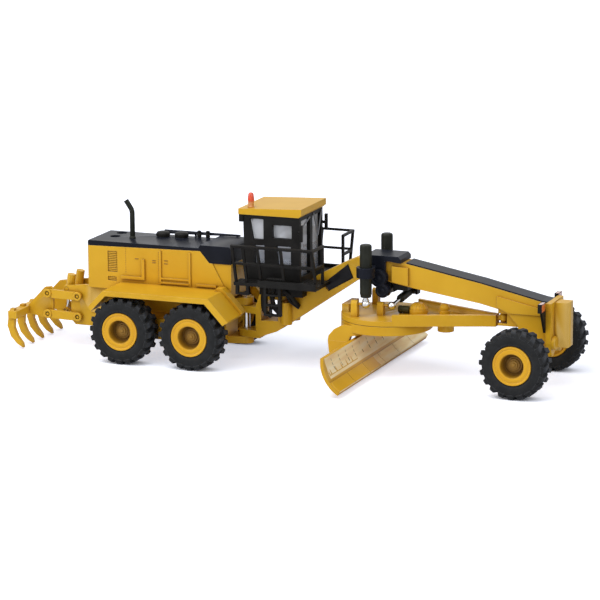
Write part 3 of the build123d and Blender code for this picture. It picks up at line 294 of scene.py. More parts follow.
def marksOfBlade(tree, across, height):
    slanted = addNode(tree, "ShaderNodeMath", {"operation": "MULTIPLY_ADD"}, {
        0: height, 1: bladeMarks["lean"], 2: across})
    tooth, dash = [addNode(tree, "ShaderNodeMath", remainder, {
        0: addNode(tree, "ShaderNodeMath", times, {0: slanted, 1: 1 / pitch})})
        for pitch in (bladeMarks["toothPitch"], bladeMarks["dashPitch"])]
    area = addNode(tree, "ShaderNodeMath", times, {
        0: band(tree, slanted, *bladeMarks["area"]),
        1: band(tree, height, *bladeMarks["height"])})
    (flankLow, flankHigh), (foot, top) = bladeMarks["toothFlank"], bladeMarks["toothHeight"]
    flank = addNode(tree, "ShaderNodeMapRange", links={
        "Value": tooth, "From Min": flankLow, "From Max": flankHigh, "To Min": foot,
        "To Max": top})
    below = addNode(tree, "ShaderNodeMath", {"operation": "LESS_THAN"}, {0: height, 1: flank})
    teeth = addNode(tree, "ShaderNodeMath", times, {
        0: below, 1: band(tree, across, *bladeMarks["teeth"])})
    area = addNode(tree, "ShaderNodeMath", {"operation": "SUBTRACT", "use_clamp": True}, {
        0: area, 1: teeth})
    for acrossSpan, heightSpan in (bladeMarks["endLine"], bladeMarks["footLine"]):
        line = addNode(tree, "ShaderNodeMath", times, {
            0: band(tree, across, *acrossSpan), 1: band(tree, height, *heightSpan)})
        area = addNode(tree, "ShaderNodeMath", larger, {0: area, 1: line})
    rows = 0.0
    for span, strength in bladeMarks["dashRows"]:
        row = addNode(tree, "ShaderNodeMath", times, {
            0: band(tree, height, *span), 1: strength})
        rows = addNode(tree, "ShaderNodeMath", larger, {0: rows, 1: row})
    marks = band(tree, dash, *bladeMarks["dash"])
    for mask in (rows, clouds(tree, bladeMarks["patch"], 0.3, 0.45, 1.0)):
        marks = addNode(tree, "ShaderNodeMath", times, {0: marks, 1: mask})
    return area, marks


# moulded ABS, black: a dull sheen with the mould's spark-eroded grain, greyer on its edges,
# which is partly wear and partly a painted highlight; the grain is drawn about twice as coarse
# as a real one, which wouldn't show
mouldedGrain = {"edge": 0.1, "edgeShare": 0.5, "grain": 0.14, "grainDepth": 0.005,
                "cloud": 3.0, "gloss": 0.14}


def mouldedAbs(name, face, paleTone, roughness):
    material, tree = newMaterial(name)
    # the paler grey on the edges is partly wear and partly a painted highlight
    edge, wearAndHighlight = roundedEdges(tree, mouldedGrain["edge"], mouldedGrain["edgeShare"])
    cloud = clouds(tree, mouldedGrain["cloud"], 0.35, 0.65, 0.22, detail=3.0)
    return surfaced(material, {
        "Base Color": coated(tree, face, (cloud, paleTone), (wearAndHighlight, paleTone)),
        "Normal": grained(tree, mouldedGrain["grain"], mouldedGrain["grainDepth"], edge),
        "Roughness": roughness, "Specular IOR Level": mouldedGrain["gloss"], "IOR": 1.53})


# black gloss lacquer on the hood's top and the walkway: near-black with a cold cast, clear
# reflections of the pale room, and paler edges, partly wear and partly a painted highlight
lacquer = {"face": "#14161E", "haze": "#20242F", "edgeHighlight": "#3C4252", "edge": 0.16,
           "edgeShare": 0.6, "cloud": 5.0, "grain": 0.6, "grainDepth": 0.002,
           "roughness": 0.34, "gloss": 0.1}


def glossLacquer(name):
    material, tree = newMaterial(name)
    edge, wearAndHighlight = roundedEdges(tree, lacquer["edge"], lacquer["edgeShare"])
    cloud = clouds(tree, lacquer["cloud"], 0.3, 0.7, 0.5)
    return surfaced(material, {
        # the paler edges are partly wear and partly a painted highlight
        "Base Color": coated(tree, lacquer["face"], (cloud, lacquer["haze"]),
                             (wearAndHighlight, lacquer["edgeHighlight"])),
        "Normal": grained(tree, lacquer["grain"], lacquer["grainDepth"], edge),
        "Roughness": lacquer["roughness"], "Specular IOR Level": lacquer["gloss"],
        "IOR": 1.52})


# soft moulded vinyl of the tyres: matt charcoal, with the mould's fine turned rings, drawn wider
# apart than they are so that they show, and greyer edges, partly wear and partly a painted
# highlight
vinyl = {"face": "#232425", "dusty": "#343537", "crown": "#484B52", "wearAndHighlight": "#6C6E74",
         "edge": 0.1, "edgeShare": 0.4, "dust": 1.2, "crownRadius": (6.9, 7.35),
         "crownShare": 0.5, "ring": 0.42, "ringDepth": 0.003, "grain": 0.2,
         "grainDepth": 0.01, "roughness": 0.62, "gloss": 0.12}


def tyreVinyl(name, x, z):
    material, tree = newMaterial(name)
    edge, wearAndHighlight = roundedEdges(tree, vinyl["edge"], vinyl["edgeShare"])
    radius = axleDistance(tree, x, z)
    turns = addNode(tree, "ShaderNodeMath", times, {
        0: radius, 1: 2 * pi / (vinyl["ring"] * mm)})
    rings = addNode(tree, "ShaderNodeMath", {"operation": "SINE"}, {0: turns})
    dust = clouds(tree, vinyl["dust"], 0.35, 0.7, 0.4, detail=4.0)
    crown = addNode(tree, "ShaderNodeMapRange", links={
        "Value": radius, "From Min": vinyl["crownRadius"][0] * mm,
        "From Max": vinyl["crownRadius"][1] * mm, "To Max": vinyl["crownShare"]})
    ringed = addNode(tree, "ShaderNodeBump", links={
        "Distance": vinyl["ringDepth"] * mm, "Height": rings, "Normal": edge})
    return surfaced(material, {
        # the greyer edges are partly wear and partly a painted highlight
        "Base Color": coated(tree, vinyl["face"], (dust, vinyl["dusty"]),
                             (crown, vinyl["crown"]), (wearAndHighlight, vinyl["wearAndHighlight"])),
        "Normal": grained(tree, vinyl["grain"], vinyl["grainDepth"], ringed),
        "Roughness": vinyl["roughness"], "Specular IOR Level": vinyl["gloss"], "IOR": 1.5})


# the rims' enamel: yellow on the lip, and a brown painted shade in the dish, darkest round its
# outer edge
rimEnamel = {"lip": ("#E3AC22", "#DDA31E"), "dish": "#9A742E", "deepestShade": "#72521D",
             "dishRadius": (2.75, 2.35), "hubRadius": (2.4, 0.6), "roughness": 0.38,
             "gloss": 0.25}


def dishedEnamel(name, x, z):
    material, tree = newMaterial(name)
    shade, normal = enamelShade(tree, *rimEnamel["lip"])
    radius = axleDistance(tree, x, z)
    dishShadeMask, middle = [addNode(tree, "ShaderNodeMapRange", links={
        "Value": radius, "From Min": outer * mm, "From Max": inner * mm})
        for outer, inner in (rimEnamel["dishRadius"], rimEnamel["hubRadius"])]
    # the dish's browns are painted shade
    dish = coated(tree, rimEnamel["deepestShade"], (middle, rimEnamel["dish"]))
    return surfaced(material, {
        "Base Color": coated(tree, shade, (dishShadeMask, dish)), "Normal": normal,
        "Roughness": rimEnamel["roughness"], "Specular IOR Level": rimEnamel["gloss"],
        "IOR": 1.5})


# nickel-plated steel balls and rods: a bright mirror with fine polishing marks, which are
# drawn coarser than they are so that they show
steel = {"bright": "#E4E4E2", "dull": "#CDCFD2", "patch": 1.5, "polish": 0.25,
         "roughness": (0.24, 0.08)}


def platedSteel(name):
    material, tree = newMaterial(name)
    return surfaced(material, {
        "Base Color": coated(tree, steel["bright"],
                             (blotches(tree, steel["patch"]), steel["dull"])),
        "Roughness": clouds(tree, steel["polish"], 0.3, 0.7, *steel["roughness"], 5.0),
        "Metallic": 1.0})


# clear styrene of the cab's windows: see-through with a cold tint, paler towards the top as a
# painted reflection, and a faint moulding haze
window = {"low": "#A9B3C8", "high": "#F6F8FC", "heights": (21, 33), "cloud": 4.0,
          "cloudShare": 0.5, "haze": 2.5, "roughness": (0.15, 0.02), "clear": 0.62}


def clearStyrene(name):
    material, tree = newMaterial(name)
    # paler towards the top, broken by blotches: a painted reflection
    cloud = addNode(tree, "ShaderNodeMath", {"operation": "MULTIPLY_ADD"}, {
        0: blotches(tree, window["cloud"]), 1: window["cloudShare"],
        2: heightShare(tree, *window["heights"])})
    return surfaced(material, {
        "Base Color": coated(tree, window["low"], (cloud, window["high"])),
        "Roughness": clouds(tree, window["haze"], 0.3, 0.7, *window["roughness"], 3.0),
        "Transmission Weight": 0.5, "IOR": 1.08, "Coat Weight": 0.35, "Coat Roughness": 0.1,
        "Alpha": window["clear"]})


# tinted translucent styrene of the beacon and lamps: a coloured body under a bright skin
tinted = {"glow": "#FF7A48", "glowSize": 0.5, "glowShare": 0.3}


def tintedStyrene(name, low, high, lowZ, highZ):
    material, tree = newMaterial(name)
    glow = addNode(tree, "ShaderNodeMath", times, {
        0: blotches(tree, tinted["glowSize"]), 1: tinted["glowShare"]})
    return surfaced(material, {
        "Base Color": coated(tree, low, (heightShare(tree, lowZ, highZ), high),
                             (glow, tinted["glow"])),
        "Transmission Weight": 0.2, "IOR": 1.49, "Roughness": 0.2, "Coat Weight": 0.4})


# slate vinyl of the seat and console, as moulded: matt with a soft leather grain, coarse
# enough to show
seatSkin = {"face": "#7F8AA0", "pale": "#A9B3C6", "patch": 2.0, "leather": 0.35,
            "leatherDepth": 0.02, "edge": 0.2}


def seatVinyl(name):
    material, tree = newMaterial(name)
    edge = roundedEdges(tree, seatSkin["edge"])[0]
    place = addNode(tree, "ShaderNodeTexCoord", output="Object")
    leather = addNode(tree, "ShaderNodeTexVoronoi", links={
        "Vector": place, "Scale": 1 / (seatSkin["leather"] * mm)})
    return surfaced(material, {
        "Base Color": coated(tree, seatSkin["face"],
                             (blotches(tree, seatSkin["patch"]), seatSkin["pale"])),
        "Normal": addNode(tree, "ShaderNodeBump", links={
            "Distance": seatSkin["leatherDepth"] * mm, "Height": leather, "Normal": edge}),
        "Roughness": 0.55, "IOR": 1.5})


enamelYellow = sprayedEnamel("yellowEnamel", "#DEAE2A", "#D5A322")
# darkened yellow enamel, used as a painted shade on the small latches, studs and pin heads
paintedShadeEnamel = sprayedEnamel("shadedEnamel", "#8F6020", "#7C4F18")
edgePrint = printedEnamel("printedEdge", marksOfEdge)
facePrint = printedEnamel("printedBlade", marksOfBlade)
absBlack = mouldedAbs("blackAbs", "#131211", "#333230", 0.45)
barrelGrey = mouldedAbs("barrelAbs", "#1C1E18", "#44463E", 0.38)
# dark olive on the circle motor: a painted shade
shadedMotorOlive = mouldedAbs("shadedOliveAbs", "#3C3920", "#66603C", 0.4)
wiperGrey = mouldedAbs("greyAbs", "#77797F", "#A5A8AE", 0.4)
panelBlack = mouldedAbs("panelBlack", "#171619", "#2E2E34", 0.3)
lacquerBlack = glossLacquer("blackLacquer")
steelBright = platedSteel("platedSteel")
styreneClear = clearStyrene("clearStyrene")
beaconStyrene = tintedStyrene("amberStyrene", "#DDA55A", "#EE4A22", 36.2, 36.9)
lampAmber = tintedStyrene("lampAmber", "#E8602A", "#F2803C", 17.0, 19.0)
# pale rose, which on the far lens is a painted highlight
lampRose = tintedStyrene("lampRose", "#E9B7AE", "#F5D9D2", 17.0, 19.0)
vinylSeat = seatVinyl("seatVinyl")
wheel = {"rows": {"front": 57.3, "middle": -16.4, "rear": -33.0}, "y": 13.5, "z": 7.4}
tyreVinyls, rimEnamels = {}, {}
for row, x in wheel["rows"].items():
    axle = ((x - stationShift) * mm, wheel["z"] * mm)
    tyreVinyls[row] = tyreVinyl(f"{row}TyreVinyl", *axle)
    rimEnamels[row] = dishedEnamel(f"{row}RimEnamel", *axle)
print("materials made:", len(bpy.data.materials))

# every other CAD node is yellow enamel
finishes = [
    (absBlack, ["cab_shell", "decks", "handrails", "cab_underwork", "saddle_link",
                "lamp_brackets", "marker_lamps"]),
    (lacquerBlack, ["hood_top", "beam_walkway", "saddle"]),
    (steelBright, ["hitch_pin"]),
    (styreneClear, ["cab_glazing"]),
    (facePrint, ["moldboard"]),
    (edgePrint, ["cutting_edge"])]
finishOf = dict.fromkeys(frame["nodes"], enamelYellow)
finishOf.update({node: material for material, nodes in finishes for node in nodes})
for node, shape in frame["nodes"].items():
    if not shape.material_slots:
        shape.data.materials.append(finishOf[node])
    for holder in shape.material_slots:
        holder.material = finishOf[node]
print("CAD nodes finished:", len(frame["nodes"]))


def finished(name, mesh, material, body, nodes=(), crease=32):
    # a piece in place: smooth over soft turns, sharp over creases, on its body
    mesh.materials.clear()
    mesh.materials.append(material)
    mesh.polygons.foreach_set("material_index", [0] * len(mesh.polygons))
    mesh.polygons.foreach_set("use_smooth", [True] * len(mesh.polygons))
    mesh.set_sharp_from_angle(angle=radians(crease))
    mesh.name = name
    piece = bpy.data.objects.new(name, mesh)
    bpy.context.scene.collection.objects.link(piece)
    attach(piece, body)
    if nodes:
        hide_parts(*nodes)


def meshOf(*shapes):
    # one mesh of several shapes, which are used up
    whole = bmesh.new()
    for shape in shapes:
        part = bpy.data.meshes.new("part")
        shape.to_mesh(part)
        shape.free()
        whole.from_mesh(part)
        bpy.data.meshes.remove(part)
    mesh = bpy.data.meshes.new("piece")
    whole.to_mesh(mesh)
    whole.free()
    return mesh


def skinned(shape, rings, capped=False):
    # faces from each ring of points to the next, and over both ends where it is capped
    for first, second in zip(rings, rings[1:]):
        for i in range(len(first)):
            j = (i + 1) % len(first)
            corners = list(dict.fromkeys([first[i], first[j], second[j], second[i]]))
            if len(corners) > 2:
                shape.faces.new(corners)
    if capped:
        shape.faces.new(rings[0])
        shape.faces.new(rings[-1])
    bmesh.ops.recalc_face_normals(shape, faces=shape.faces)
    return shape


def turned(profile, centre, axis=(0, 0, 1), sides=40, closed=False):
    # shape turned from (radius, along) in millimetres about an axis through a centre in
    # metres; a radius of 0 ends on the axis, and a closed profile is a ring
    shape = bmesh.new()
    direction = Vector(axis).normalized()
    across = direction.orthogonal().normalized()
    upright = direction.cross(across)
    angles = [2 * pi * i / sides for i in range(sides)]
    rings = []
    for radius, along in profile:
        spot = centre + direction * along * mm
        if radius == 0:
            rings.append([shape.verts.new(spot)] * sides)
        else:
            rings.append([shape.verts.new(spot + (across * cos(a) + upright * sin(a))
                                          * radius * mm) for a in angles])
    return skinned(shape, rings + rings[:1] if closed else rings)


def pipeAlong(points, radius, sides=16, hollow=0.0, bore=0.74):
    # round pipe along points in metres; a hollow end is open to that depth in millimetres, and
    # its bore is a share of the radius
    shape = bmesh.new()
    rings = []
    across = None
    for i, spot in enumerate(points):
        into = (spot - points[i - 1]).normalized() if i else None
        out = (points[i + 1] - spot).normalized() if i + 1 < len(points) else None
        heading = ((into or out) + (out or into)).normalized()
        across = across or heading.orthogonal().normalized()
        across = (across - heading * across.dot(heading)).normalized()
        ends = [(spot, radius * mm)]
        if hollow and out is None:
            ends += [(spot - heading * depth * mm, radius * bore * mm) for depth in (0, hollow)]
        for place, size in ends:
            rings.append([shape.verts.new(
                place + (across * cos(a) + heading.cross(across) * sin(a)) * size)
                for a in (2 * pi * i / sides for i in range(sides))])
    return skinned(shape, rings, True)


def smoothLine(points, steps=6):
    # more points on a soft curve through (x, y, z) stations
    spots = [at(*p) for p in points]
    ends = [2 * spots[0] - spots[1], *spots, 2 * spots[-1] - spots[-2]]
    line = []
    for a, b, c, d in zip(ends, ends[1:], ends[2:], ends[3:]):
        for step in range(steps):
            t = step / steps
            line.append(0.5 * (2 * b + (c - a) * t + (2 * a - 5 * b + 4 * c - d) * t * t
                               + (3 * b - a - 3 * c + d) * t ** 3))
    return line + [spots[-1]]


def softened(shape, radius, steps):
    # every edge rounded
    bmesh.ops.bevel(shape, geom=shape.edges[:], offset=radius * mm, segments=steps, profile=0.5,
                    affect="EDGES")
    return shape


def softBlock(xSpan, ySpan, zSpan, radius, steps=3):
    # block with rounded edges
    shape = bmesh.new()
    low, high = [at(*corner) for corner in zip(xSpan, sorted(ySpan), zSpan)]
    bmesh.ops.create_cube(shape, size=1, matrix=Matrix.Translation((low + high) / 2)
                          @ Matrix.Diagonal((*(high - low), 1)))
    return softened(shape, radius, steps)


def sidePlate(outline, ySpan, radius, steps=2):
    # plate from an outline of (x, z) with rounded edges
    shape = bmesh.new()
    near, far = sorted(ySpan)
    face = shape.faces.new([shape.verts.new(at(x, near, z)) for x, z in outline])
    grown = bmesh.ops.extrude_face_region(shape, geom=[face])
    moved = [v for v in grown["geom"] if isinstance(v, bmesh.types.BMVert)]
    bmesh.ops.translate(shape, verts=moved, vec=(0, (far - near) * mm, 0))
    bmesh.ops.recalc_face_normals(shape, faces=shape.faces)
    return softened(shape, radius, steps)


def ballProfile(radius, middle, steps=12):
    # (radius, along) points of a ball
    angles = [pi * i / steps for i in range(steps + 1)]
    return [(0 if i in (0, steps) else radius * sin(a), middle - radius * cos(a))
            for i, a in enumerate(angles)]


def newTree(name, inputs):
    # geometry tree with named inputs, given as name: kind of socket
    tree = bpy.data.node_groups.new(name, "GeometryNodeTree")
    tree.interface.new_socket("Geometry", in_out="INPUT", socket_type="NodeSocketGeometry")
    for label, kind in inputs.items():
        tree.interface.new_socket(label, in_out="INPUT", socket_type=f"NodeSocket{kind}")
    tree.interface.new_socket("Geometry", in_out="OUTPUT", socket_type="NodeSocketGeometry")
    return tree, addNode(tree, "NodeGroupInput", output=None).outputs


def endTree(tree, geometry, finish):
    whole = addNode(tree, "GeometryNodeRealizeInstances", links={"Geometry": geometry})
    done = addNode(tree, "GeometryNodeSetMaterial", links={
        "Geometry": whole, "Material": finish})
    addNode(tree, "NodeGroupOutput", links={"Geometry": done}, output=None)
    return tree


def grown(tree, values, base=None):
    # plain mesh of what a tree makes from its inputs
    seed = bpy.data.objects.new("seed", base or bpy.data.meshes.new("seed"))
    bpy.context.scene.collection.objects.link(seed)
    modifier = seed.modifiers.new("grow", "NODES")
    modifier.node_group = tree
    for socket in tree.interface.items_tree:
        if socket.in_out == "INPUT" and socket.name in values:
            value = values[socket.name]
            if isinstance(value, (tuple, Vector)):
                value = [float(v) for v in value]
            modifier[socket.identifier] = value
    bpy.context.view_layer.update()
    graph = bpy.context.evaluated_depsgraph_get()
    mesh = bpy.data.meshes.new_from_object(seed.evaluated_get(graph))
    seed.modifiers.remove(modifier)
    bpy.data.objects.remove(seed)
    return mesh


repeatedItems = []


def itemOf(name, shape):
    # a small shape that a tree repeats; it is removed after the last tree has run
    item = bpy.data.objects.new(name, meshOf(shape))
    bpy.context.scene.collection.objects.link(item)
    repeatedItems.append(item)
    return item


def repeated(name, tree, shape, values, material, body):
    # a finished piece of one shape again and again
    item = itemOf(f"{name}Item", shape)
    mesh = grown(tree, {"Item": item, "Finish": material, **values})
    finished(name, mesh, material, body)


def itemsRound(tree, item, count, centre, axis, shift=0.0):
    # one item again and again round an axis, started a share of a pitch on
    index = addNode(tree, "GeometryNodeInputIndex")
    points = addNode(tree, "GeometryNodeMeshLine", links={
        "Count": count, "Start Location": centre, "Offset": (0, 0, 0)})
    number = addNode(tree, "ShaderNodeMath", {"operation": "ADD"}, {0: index, 1: shift})
    step = addNode(tree, "ShaderNodeMath", {"operation": "DIVIDE"}, {0: 2 * pi, 1: count})
    turn = addNode(tree, "ShaderNodeMath", times, {0: number, 1: step})
    euler = addNode(tree, "ShaderNodeCombineXYZ", links={axis: turn})
    rotation = addNode(tree, "FunctionNodeEulerToRotation", links={"Euler": euler})
    shape = addNode(tree, "GeometryNodeObjectInfo", links={"Object": item}, output="Geometry")
    return addNode(tree, "GeometryNodeInstanceOnPoints", links={
        "Points": points, "Instance": shape, "Rotation": rotation})


def luggedTyreTree():
    # the carcass with a row of lugs on each side, the far row half a pitch on
    tree, given = newTree("luggedTyre", {
        "Near Lug": "Object", "Far Lug": "Object", "Lug Count": "Int", "Finish": "Material"})
    rows = [itemsRound(tree, given[label], given["Lug Count"], (0, 0, 0), "Y", shift)
            for label, shift in (("Near Lug", 0.0), ("Far Lug", 0.5))]
    joined = addNode(tree, "GeometryNodeJoinGeometry", links={
        "Geometry": [given["Geometry"], *rows]})
    return endTree(tree, joined, given["Finish"])


def ringTree():
    # one item again and again round an upright axis through a centre
    tree, given = newTree("ringOfItems", {
        "Item": "Object", "Count": "Int", "Centre": "Vector", "Finish": "Material"})
    ring = itemsRound(tree, given["Item"], given["Count"], given["Centre"], "Z")
    return endTree(tree, ring, given["Finish"])


def straightRowTree():
    # one item again and again along a straight line, in rows side by side
    tree, given = newTree("straightRows", {
        "Item": "Object", "Count": "Int", "Step": "Vector", "Rows": "Int",
        "Row Step": "Vector", "Finish": "Material"})
    rows = addNode(tree, "GeometryNodeObjectInfo", links={"Object": given["Item"]},
                   output="Geometry")
    for count, step in (("Count", "Step"), ("Rows", "Row Step")):
        line = addNode(tree, "GeometryNodeMeshLine", links={
            "Count": given[count], "Offset": given[step]})
        rows = addNode(tree, "GeometryNodeInstanceOnPoints", links={
            "Points": line, "Instance": rows})
    return endTree(tree, rows, given["Finish"])


aroundTree = ringTree()
rowTree = straightRowTree()
print("trees built")

# tyres and rims; the tread's lugs wrap over the shoulder
tyre = {"lugs": 20, "slant": 0.26, "middle": 1.3, "foot": (6.6, 0.62), "crest": (7.37, 0.47),
        "sides": 80,
        "carcass": [(4.25, 2.2), (4.36, 2.5), (4.5, 2.6), (4.62, 2.56), (4.75, 2.64),
                    (5.5, 2.69), (6.1, 2.64), (6.5, 2.5), (6.74, 2.2), (6.83, 1.2)],
        "lug": [(0.08, 6.6), (0.2, 7.36), (2.15, 7.37), (2.5, 7.05), (2.69, 6.4),
                (2.5, 6.15), (1.0, 6.4)]}
rim = {"sides": 64,
       "profile": [(0, 1.5), (0.3, 1.48), (0.42, 1.38), (0.44, 1.22), (0.82, 1.2), (0.9, 1.12),
                   (0.92, 0.98), (1.26, 0.96), (1.34, 0.88), (1.36, 0.74), (1.72, 0.72),
                   (1.8, 0.64), (1.83, 0.42), (2.2, 0.36), (2.34, 0.5), (2.44, 1.2),
                   (2.5, 2.3), (2.58, 2.5), (2.74, 2.58), (3.5, 2.56), (3.62, 2.5),
                   (3.7, 2.56), (4.02, 2.66), (4.16, 2.64), (4.22, 2.5), (4.22, -2.2),
                   (4.1, -2.38), (3.7, -2.4), (3.5, -1.6), (1.6, -1.6), (1.4, -2.4),
                   (0.82, -2.4), (0.82, 0.45), (0, 0.45)]}


def lugShape(side):
    # a lug narrows from its foot to its crest, each given as radius and half width
    shape = bmesh.new()
    (foot, footHalf), (crest, crestHalf) = tyre["foot"], tyre["crest"]
    flanks = []
    for edge in (-1, 1):
        flank = []
        for y, radius in tyre["lug"]:
            half = footHalf + (crestHalf - footHalf) * (radius - foot) / (crest - foot)
            lean = tyre["slant"] * (y - tyre["middle"])
            flank.append(shape.verts.new(Vector((lean + edge * half, side * y, radius)) * mm))
        flanks.append(flank)
    return skinned(shape, flanks, True)


def makeWheels():
    tree = luggedTyreTree()
    half = tyre["carcass"]
    carcass = half + [(r, -y) for r, y in reversed(half)]
    lugs = {"Near Lug": itemOf("nearLug", lugShape(-1)), "Lug Count": tyre["lugs"],
            "Far Lug": itemOf("farLug", lugShape(1))}
    for row, x in wheel["rows"].items():
        for side, way in bothSides:
            centre = at(x, way * wheel["y"], wheel["z"])
            place = f"{row}_{side.lower()}"
            plain = meshOf(turned(carcass, Vector((0, 0, 0)), (0, 1, 0), tyre["sides"], True))
            mesh = grown(tree, {**lugs, "Finish": tyreVinyls[row]}, plain)
            mesh.transform(Matrix.Translation(centre))
            finished(f"{row}{side}Tyre", mesh, tyreVinyls[row], f"wheel_{place}",
                     [f"tyre_{place}"], 28)
            disc = meshOf(turned(rim["profile"], centre, (0, way, 0), rim["sides"]))
            finished(f"{row}{side}Rim", disc, rimEnamels[row], f"wheel_{place}",
                     [f"rim_{place}"], 40)


makeWheels()
print("wheels made")


def hoodTopAt(x):
    # height of the hood's sloping top
    return 25.3 + 0.7 * (x + 45.4) / 27.5


# castings by body, and the drums on them that round pieces stand in for, as x, y, reach and
# the height that they are lowered to
castings = {
    "circle": ["circle"], "drawbar": ["drawbar"],
    "front_frame": ["saddle", "saddle_link", "front_frame", "front_axle", "push_plate"],
    "rear_frame": ["rear_chassis", "hood_top"],
    "knuckle_right": ["knuckle_right"], "knuckle_left": ["knuckle_left"],
    "ripper_lower_link": ["ripper_lower_link"], "ripper_upper_link": ["ripper_upper_link"],
    "ripper_barrels": ["ripper_barrels"], "ripper_beam": ["ripper_beam"]}
drums = {"drawbar": [(31.0, 0, 2.3, 14.3), (36.9, 0, 1.3, 14.0)],
         "hood_top": [(x, way * y, reach, hoodTopAt(x) - 0.03) for x, y, reach in (
             (-31.05, 3.7, 1.7), (-26.5, 3.7, 1.7), (-22.7, 4.8, 0.7), (-20.6, 4.8, 0.7))
             for way in (-1, 1)]}
smoothing = {"weld": 1e-7, "flat": 0.4, "crease": 33}  # in metres, degrees and degrees


def smoothed(node, body):
    # the CAD mesh of a node with soft shading over its round faces, in place of the faceted one
    shape = bmesh.new()
    shape.from_mesh(frame["nodes"][node].data)
    bmesh.ops.remove_doubles(shape, verts=shape.verts, dist=smoothing["weld"])
    for x, y, reach, z in drums.get(node, ()):
        top = at(x, y, z)
        for vert in shape.verts:
            if vert.co.z > top.z and (vert.co - top).xy.length < reach * mm:
                vert.co.z = top.z
    bmesh.ops.remove_doubles(shape, verts=shape.verts, dist=smoothing["weld"])
    bmesh.ops.dissolve_limit(shape, angle_limit=radians(smoothing["flat"]),
                             verts=shape.verts, edges=shape.edges)
    finished(f"{node}Cast", meshOf(shape), finishOf[node], body, [node],
             smoothing["crease"])


for body, nodes in castings.items():
    for node in nodes:
        smoothed(node, body)
print("castings smoothed")

# lift cylinders: a grey barrel with a domed top and a gland at its foot, a bright rod and ball
lift = {"x": 21.25, "y": 6.6, "eyeZ": 15.96, "ball": 0.95,
        "barrel": [(0, 21.7), (0.6, 21.7), (0.6, 17.5), (1.1, 17.5), (1.17, 17.58),
                   (1.17, 18.0), (1.3, 18.14), (1.3, 28.55), (1.26, 28.8), (1.12, 29.0),
                   (0.9, 29.09), (0, 29.1)],
        "rod": [(0, 16.4), (0.55, 16.4), (0.55, 18.95), (0.45, 19.1), (0, 19.1)],
        "collar": [(0.62, 16.68), (0.8, 16.68), (0.8, 16.95), (0.62, 16.95)]}


def makeLiftCylinders():
    for side, way in bothSides:
        side = side.lower()
        foot = at(lift["x"], way * lift["y"], 0)
        barrel = meshOf(turned(lift["barrel"], foot, sides=48))
        finished(f"{side}LiftBarrel", barrel, barrelGrey, f"lift_barrel_{side}",
                 [f"lift_barrel_{side}"])
        rod = meshOf(turned(lift["rod"], foot, sides=32),
                     turned(ballProfile(lift["ball"], lift["eyeZ"]), foot, sides=32),
                     turned(lift["collar"], foot, sides=32, closed=True))
        finished(f"{side}LiftRod", rod, steelBright, f"lift_rod_{side}",
                 [f"lift_rod_{side}"])


# centre-shift cylinder, from its pivot on the saddle down to the ball on the drawbar
shift = {"pivot": (27.3, 5.6, 17.1), "eye": (26.0, -3.4, 15.3), "barrel": 0.9, "rod": 0.4,
         "share": 0.6, "ball": 0.9, "foot": 0.3, "gland": 0.35, "step": 0.12, "soft": 0.1,
         "overlap": 0.2, "rodEnd": 0.5}


def makeShiftCylinder():
    start = at(*shift["pivot"])
    end = at(*shift["eye"])
    length = (end - start).length / mm
    reach = length * shift["share"]
    axis = (end - start).normalized()
    size, slim, gland = shift["barrel"], shift["barrel"] - shift["step"], reach - shift["gland"]
    tube = turned([(0, shift["foot"]), (size, shift["foot"]), (size, gland),
                   (slim, gland + 0.05), (slim, reach - 0.05), (size - 0.3, reach),
                   (0, reach)], start, axis)
    soft = size - shift["soft"]
    eye = turned([(0, -size), (soft, -size), (size, -soft), (size, soft), (soft, size),
                  (0, size)], start, (1, 0, 0))
    finished("shiftBarrel", meshOf(tube, eye), barrelGrey, "shift_cylinder", ["shift_barrel"])
    first, last = reach - shift["overlap"], length - shift["rodEnd"]
    rod = turned([(0, first), (shift["rod"], first), (shift["rod"], last), (0, last)], start,
                 axis, 24)
    ball = turned(ballProfile(shift["ball"], length), start, axis, 32)
    finished("shiftRod", meshOf(rod, ball), steelBright, "shift_cylinder", ["shift_rod"])


# what stands on the drawbar: the swivel housing with its ribs, the small dome, the motor
drawbarTop = {"swivelX": 31.0, "swivel": [
                  (0, 13.0), (2.02, 13.0), (2.02, 14.1), (1.92, 14.2), (1.92, 14.55),
                  (1.75, 14.9), (1.4, 15.3), (0.95, 15.58), (0.5, 15.7), (0, 15.74)],
              "knobX": 36.9, "knob": [
                  (0, 13.0), (1.1, 13.0), (1.1, 14.4), (0.96, 14.5), (1.08, 14.75),
                  (1.1, 15.1), (1.0, 15.5), (0.7, 15.82), (0.35, 15.93), (0, 15.95)],
              "ribs": 16, "ribRadius": 0.1,
              "rib": [(1.9, 0, 14.5), (1.7, 0, 14.95), (1.38, 0, 15.32), (0.93, 0, 15.6)],
              "motorZ": 13.92, "motor": [
                  (0, 26.4), (0.7, 26.4), (0.82, 26.52), (0.82, 27.1), (0.72, 27.16),
                  (0.72, 27.34), (0.82, 27.4), (0.82, 28.7), (0.74, 28.92), (0.55, 29.0),
                  (0, 29.0)]}


def makeDrawbarTop():
    middle = at(drawbarTop["swivelX"], 0, 0)
    finished("swivelDome", meshOf(turned(drawbarTop["swivel"], middle, sides=48)),
             enamelYellow, "drawbar")
    rib = pipeAlong([Vector(p) * mm for p in drawbarTop["rib"]], drawbarTop["ribRadius"], 6)
    repeated("swivelRibs", aroundTree, rib, {"Count": drawbarTop["ribs"], "Centre": middle},
             enamelYellow, "drawbar")
    knob = turned(drawbarTop["knob"], at(drawbarTop["knobX"], 0, 0))
    finished("drawbarKnob", meshOf(knob), enamelYellow, "drawbar")
    motor = turned(drawbarTop["motor"], at(0, 0, drawbarTop["motorZ"]), (1, 0, 0), 32)
    finished("circleMotor", meshOf(motor), shadedMotorOlive, "drawbar", ["circle_motor"])


makeLiftCylinders()
makeShiftCylinder()
makeDrawbarTop()
print("cylinders and drawbar made")

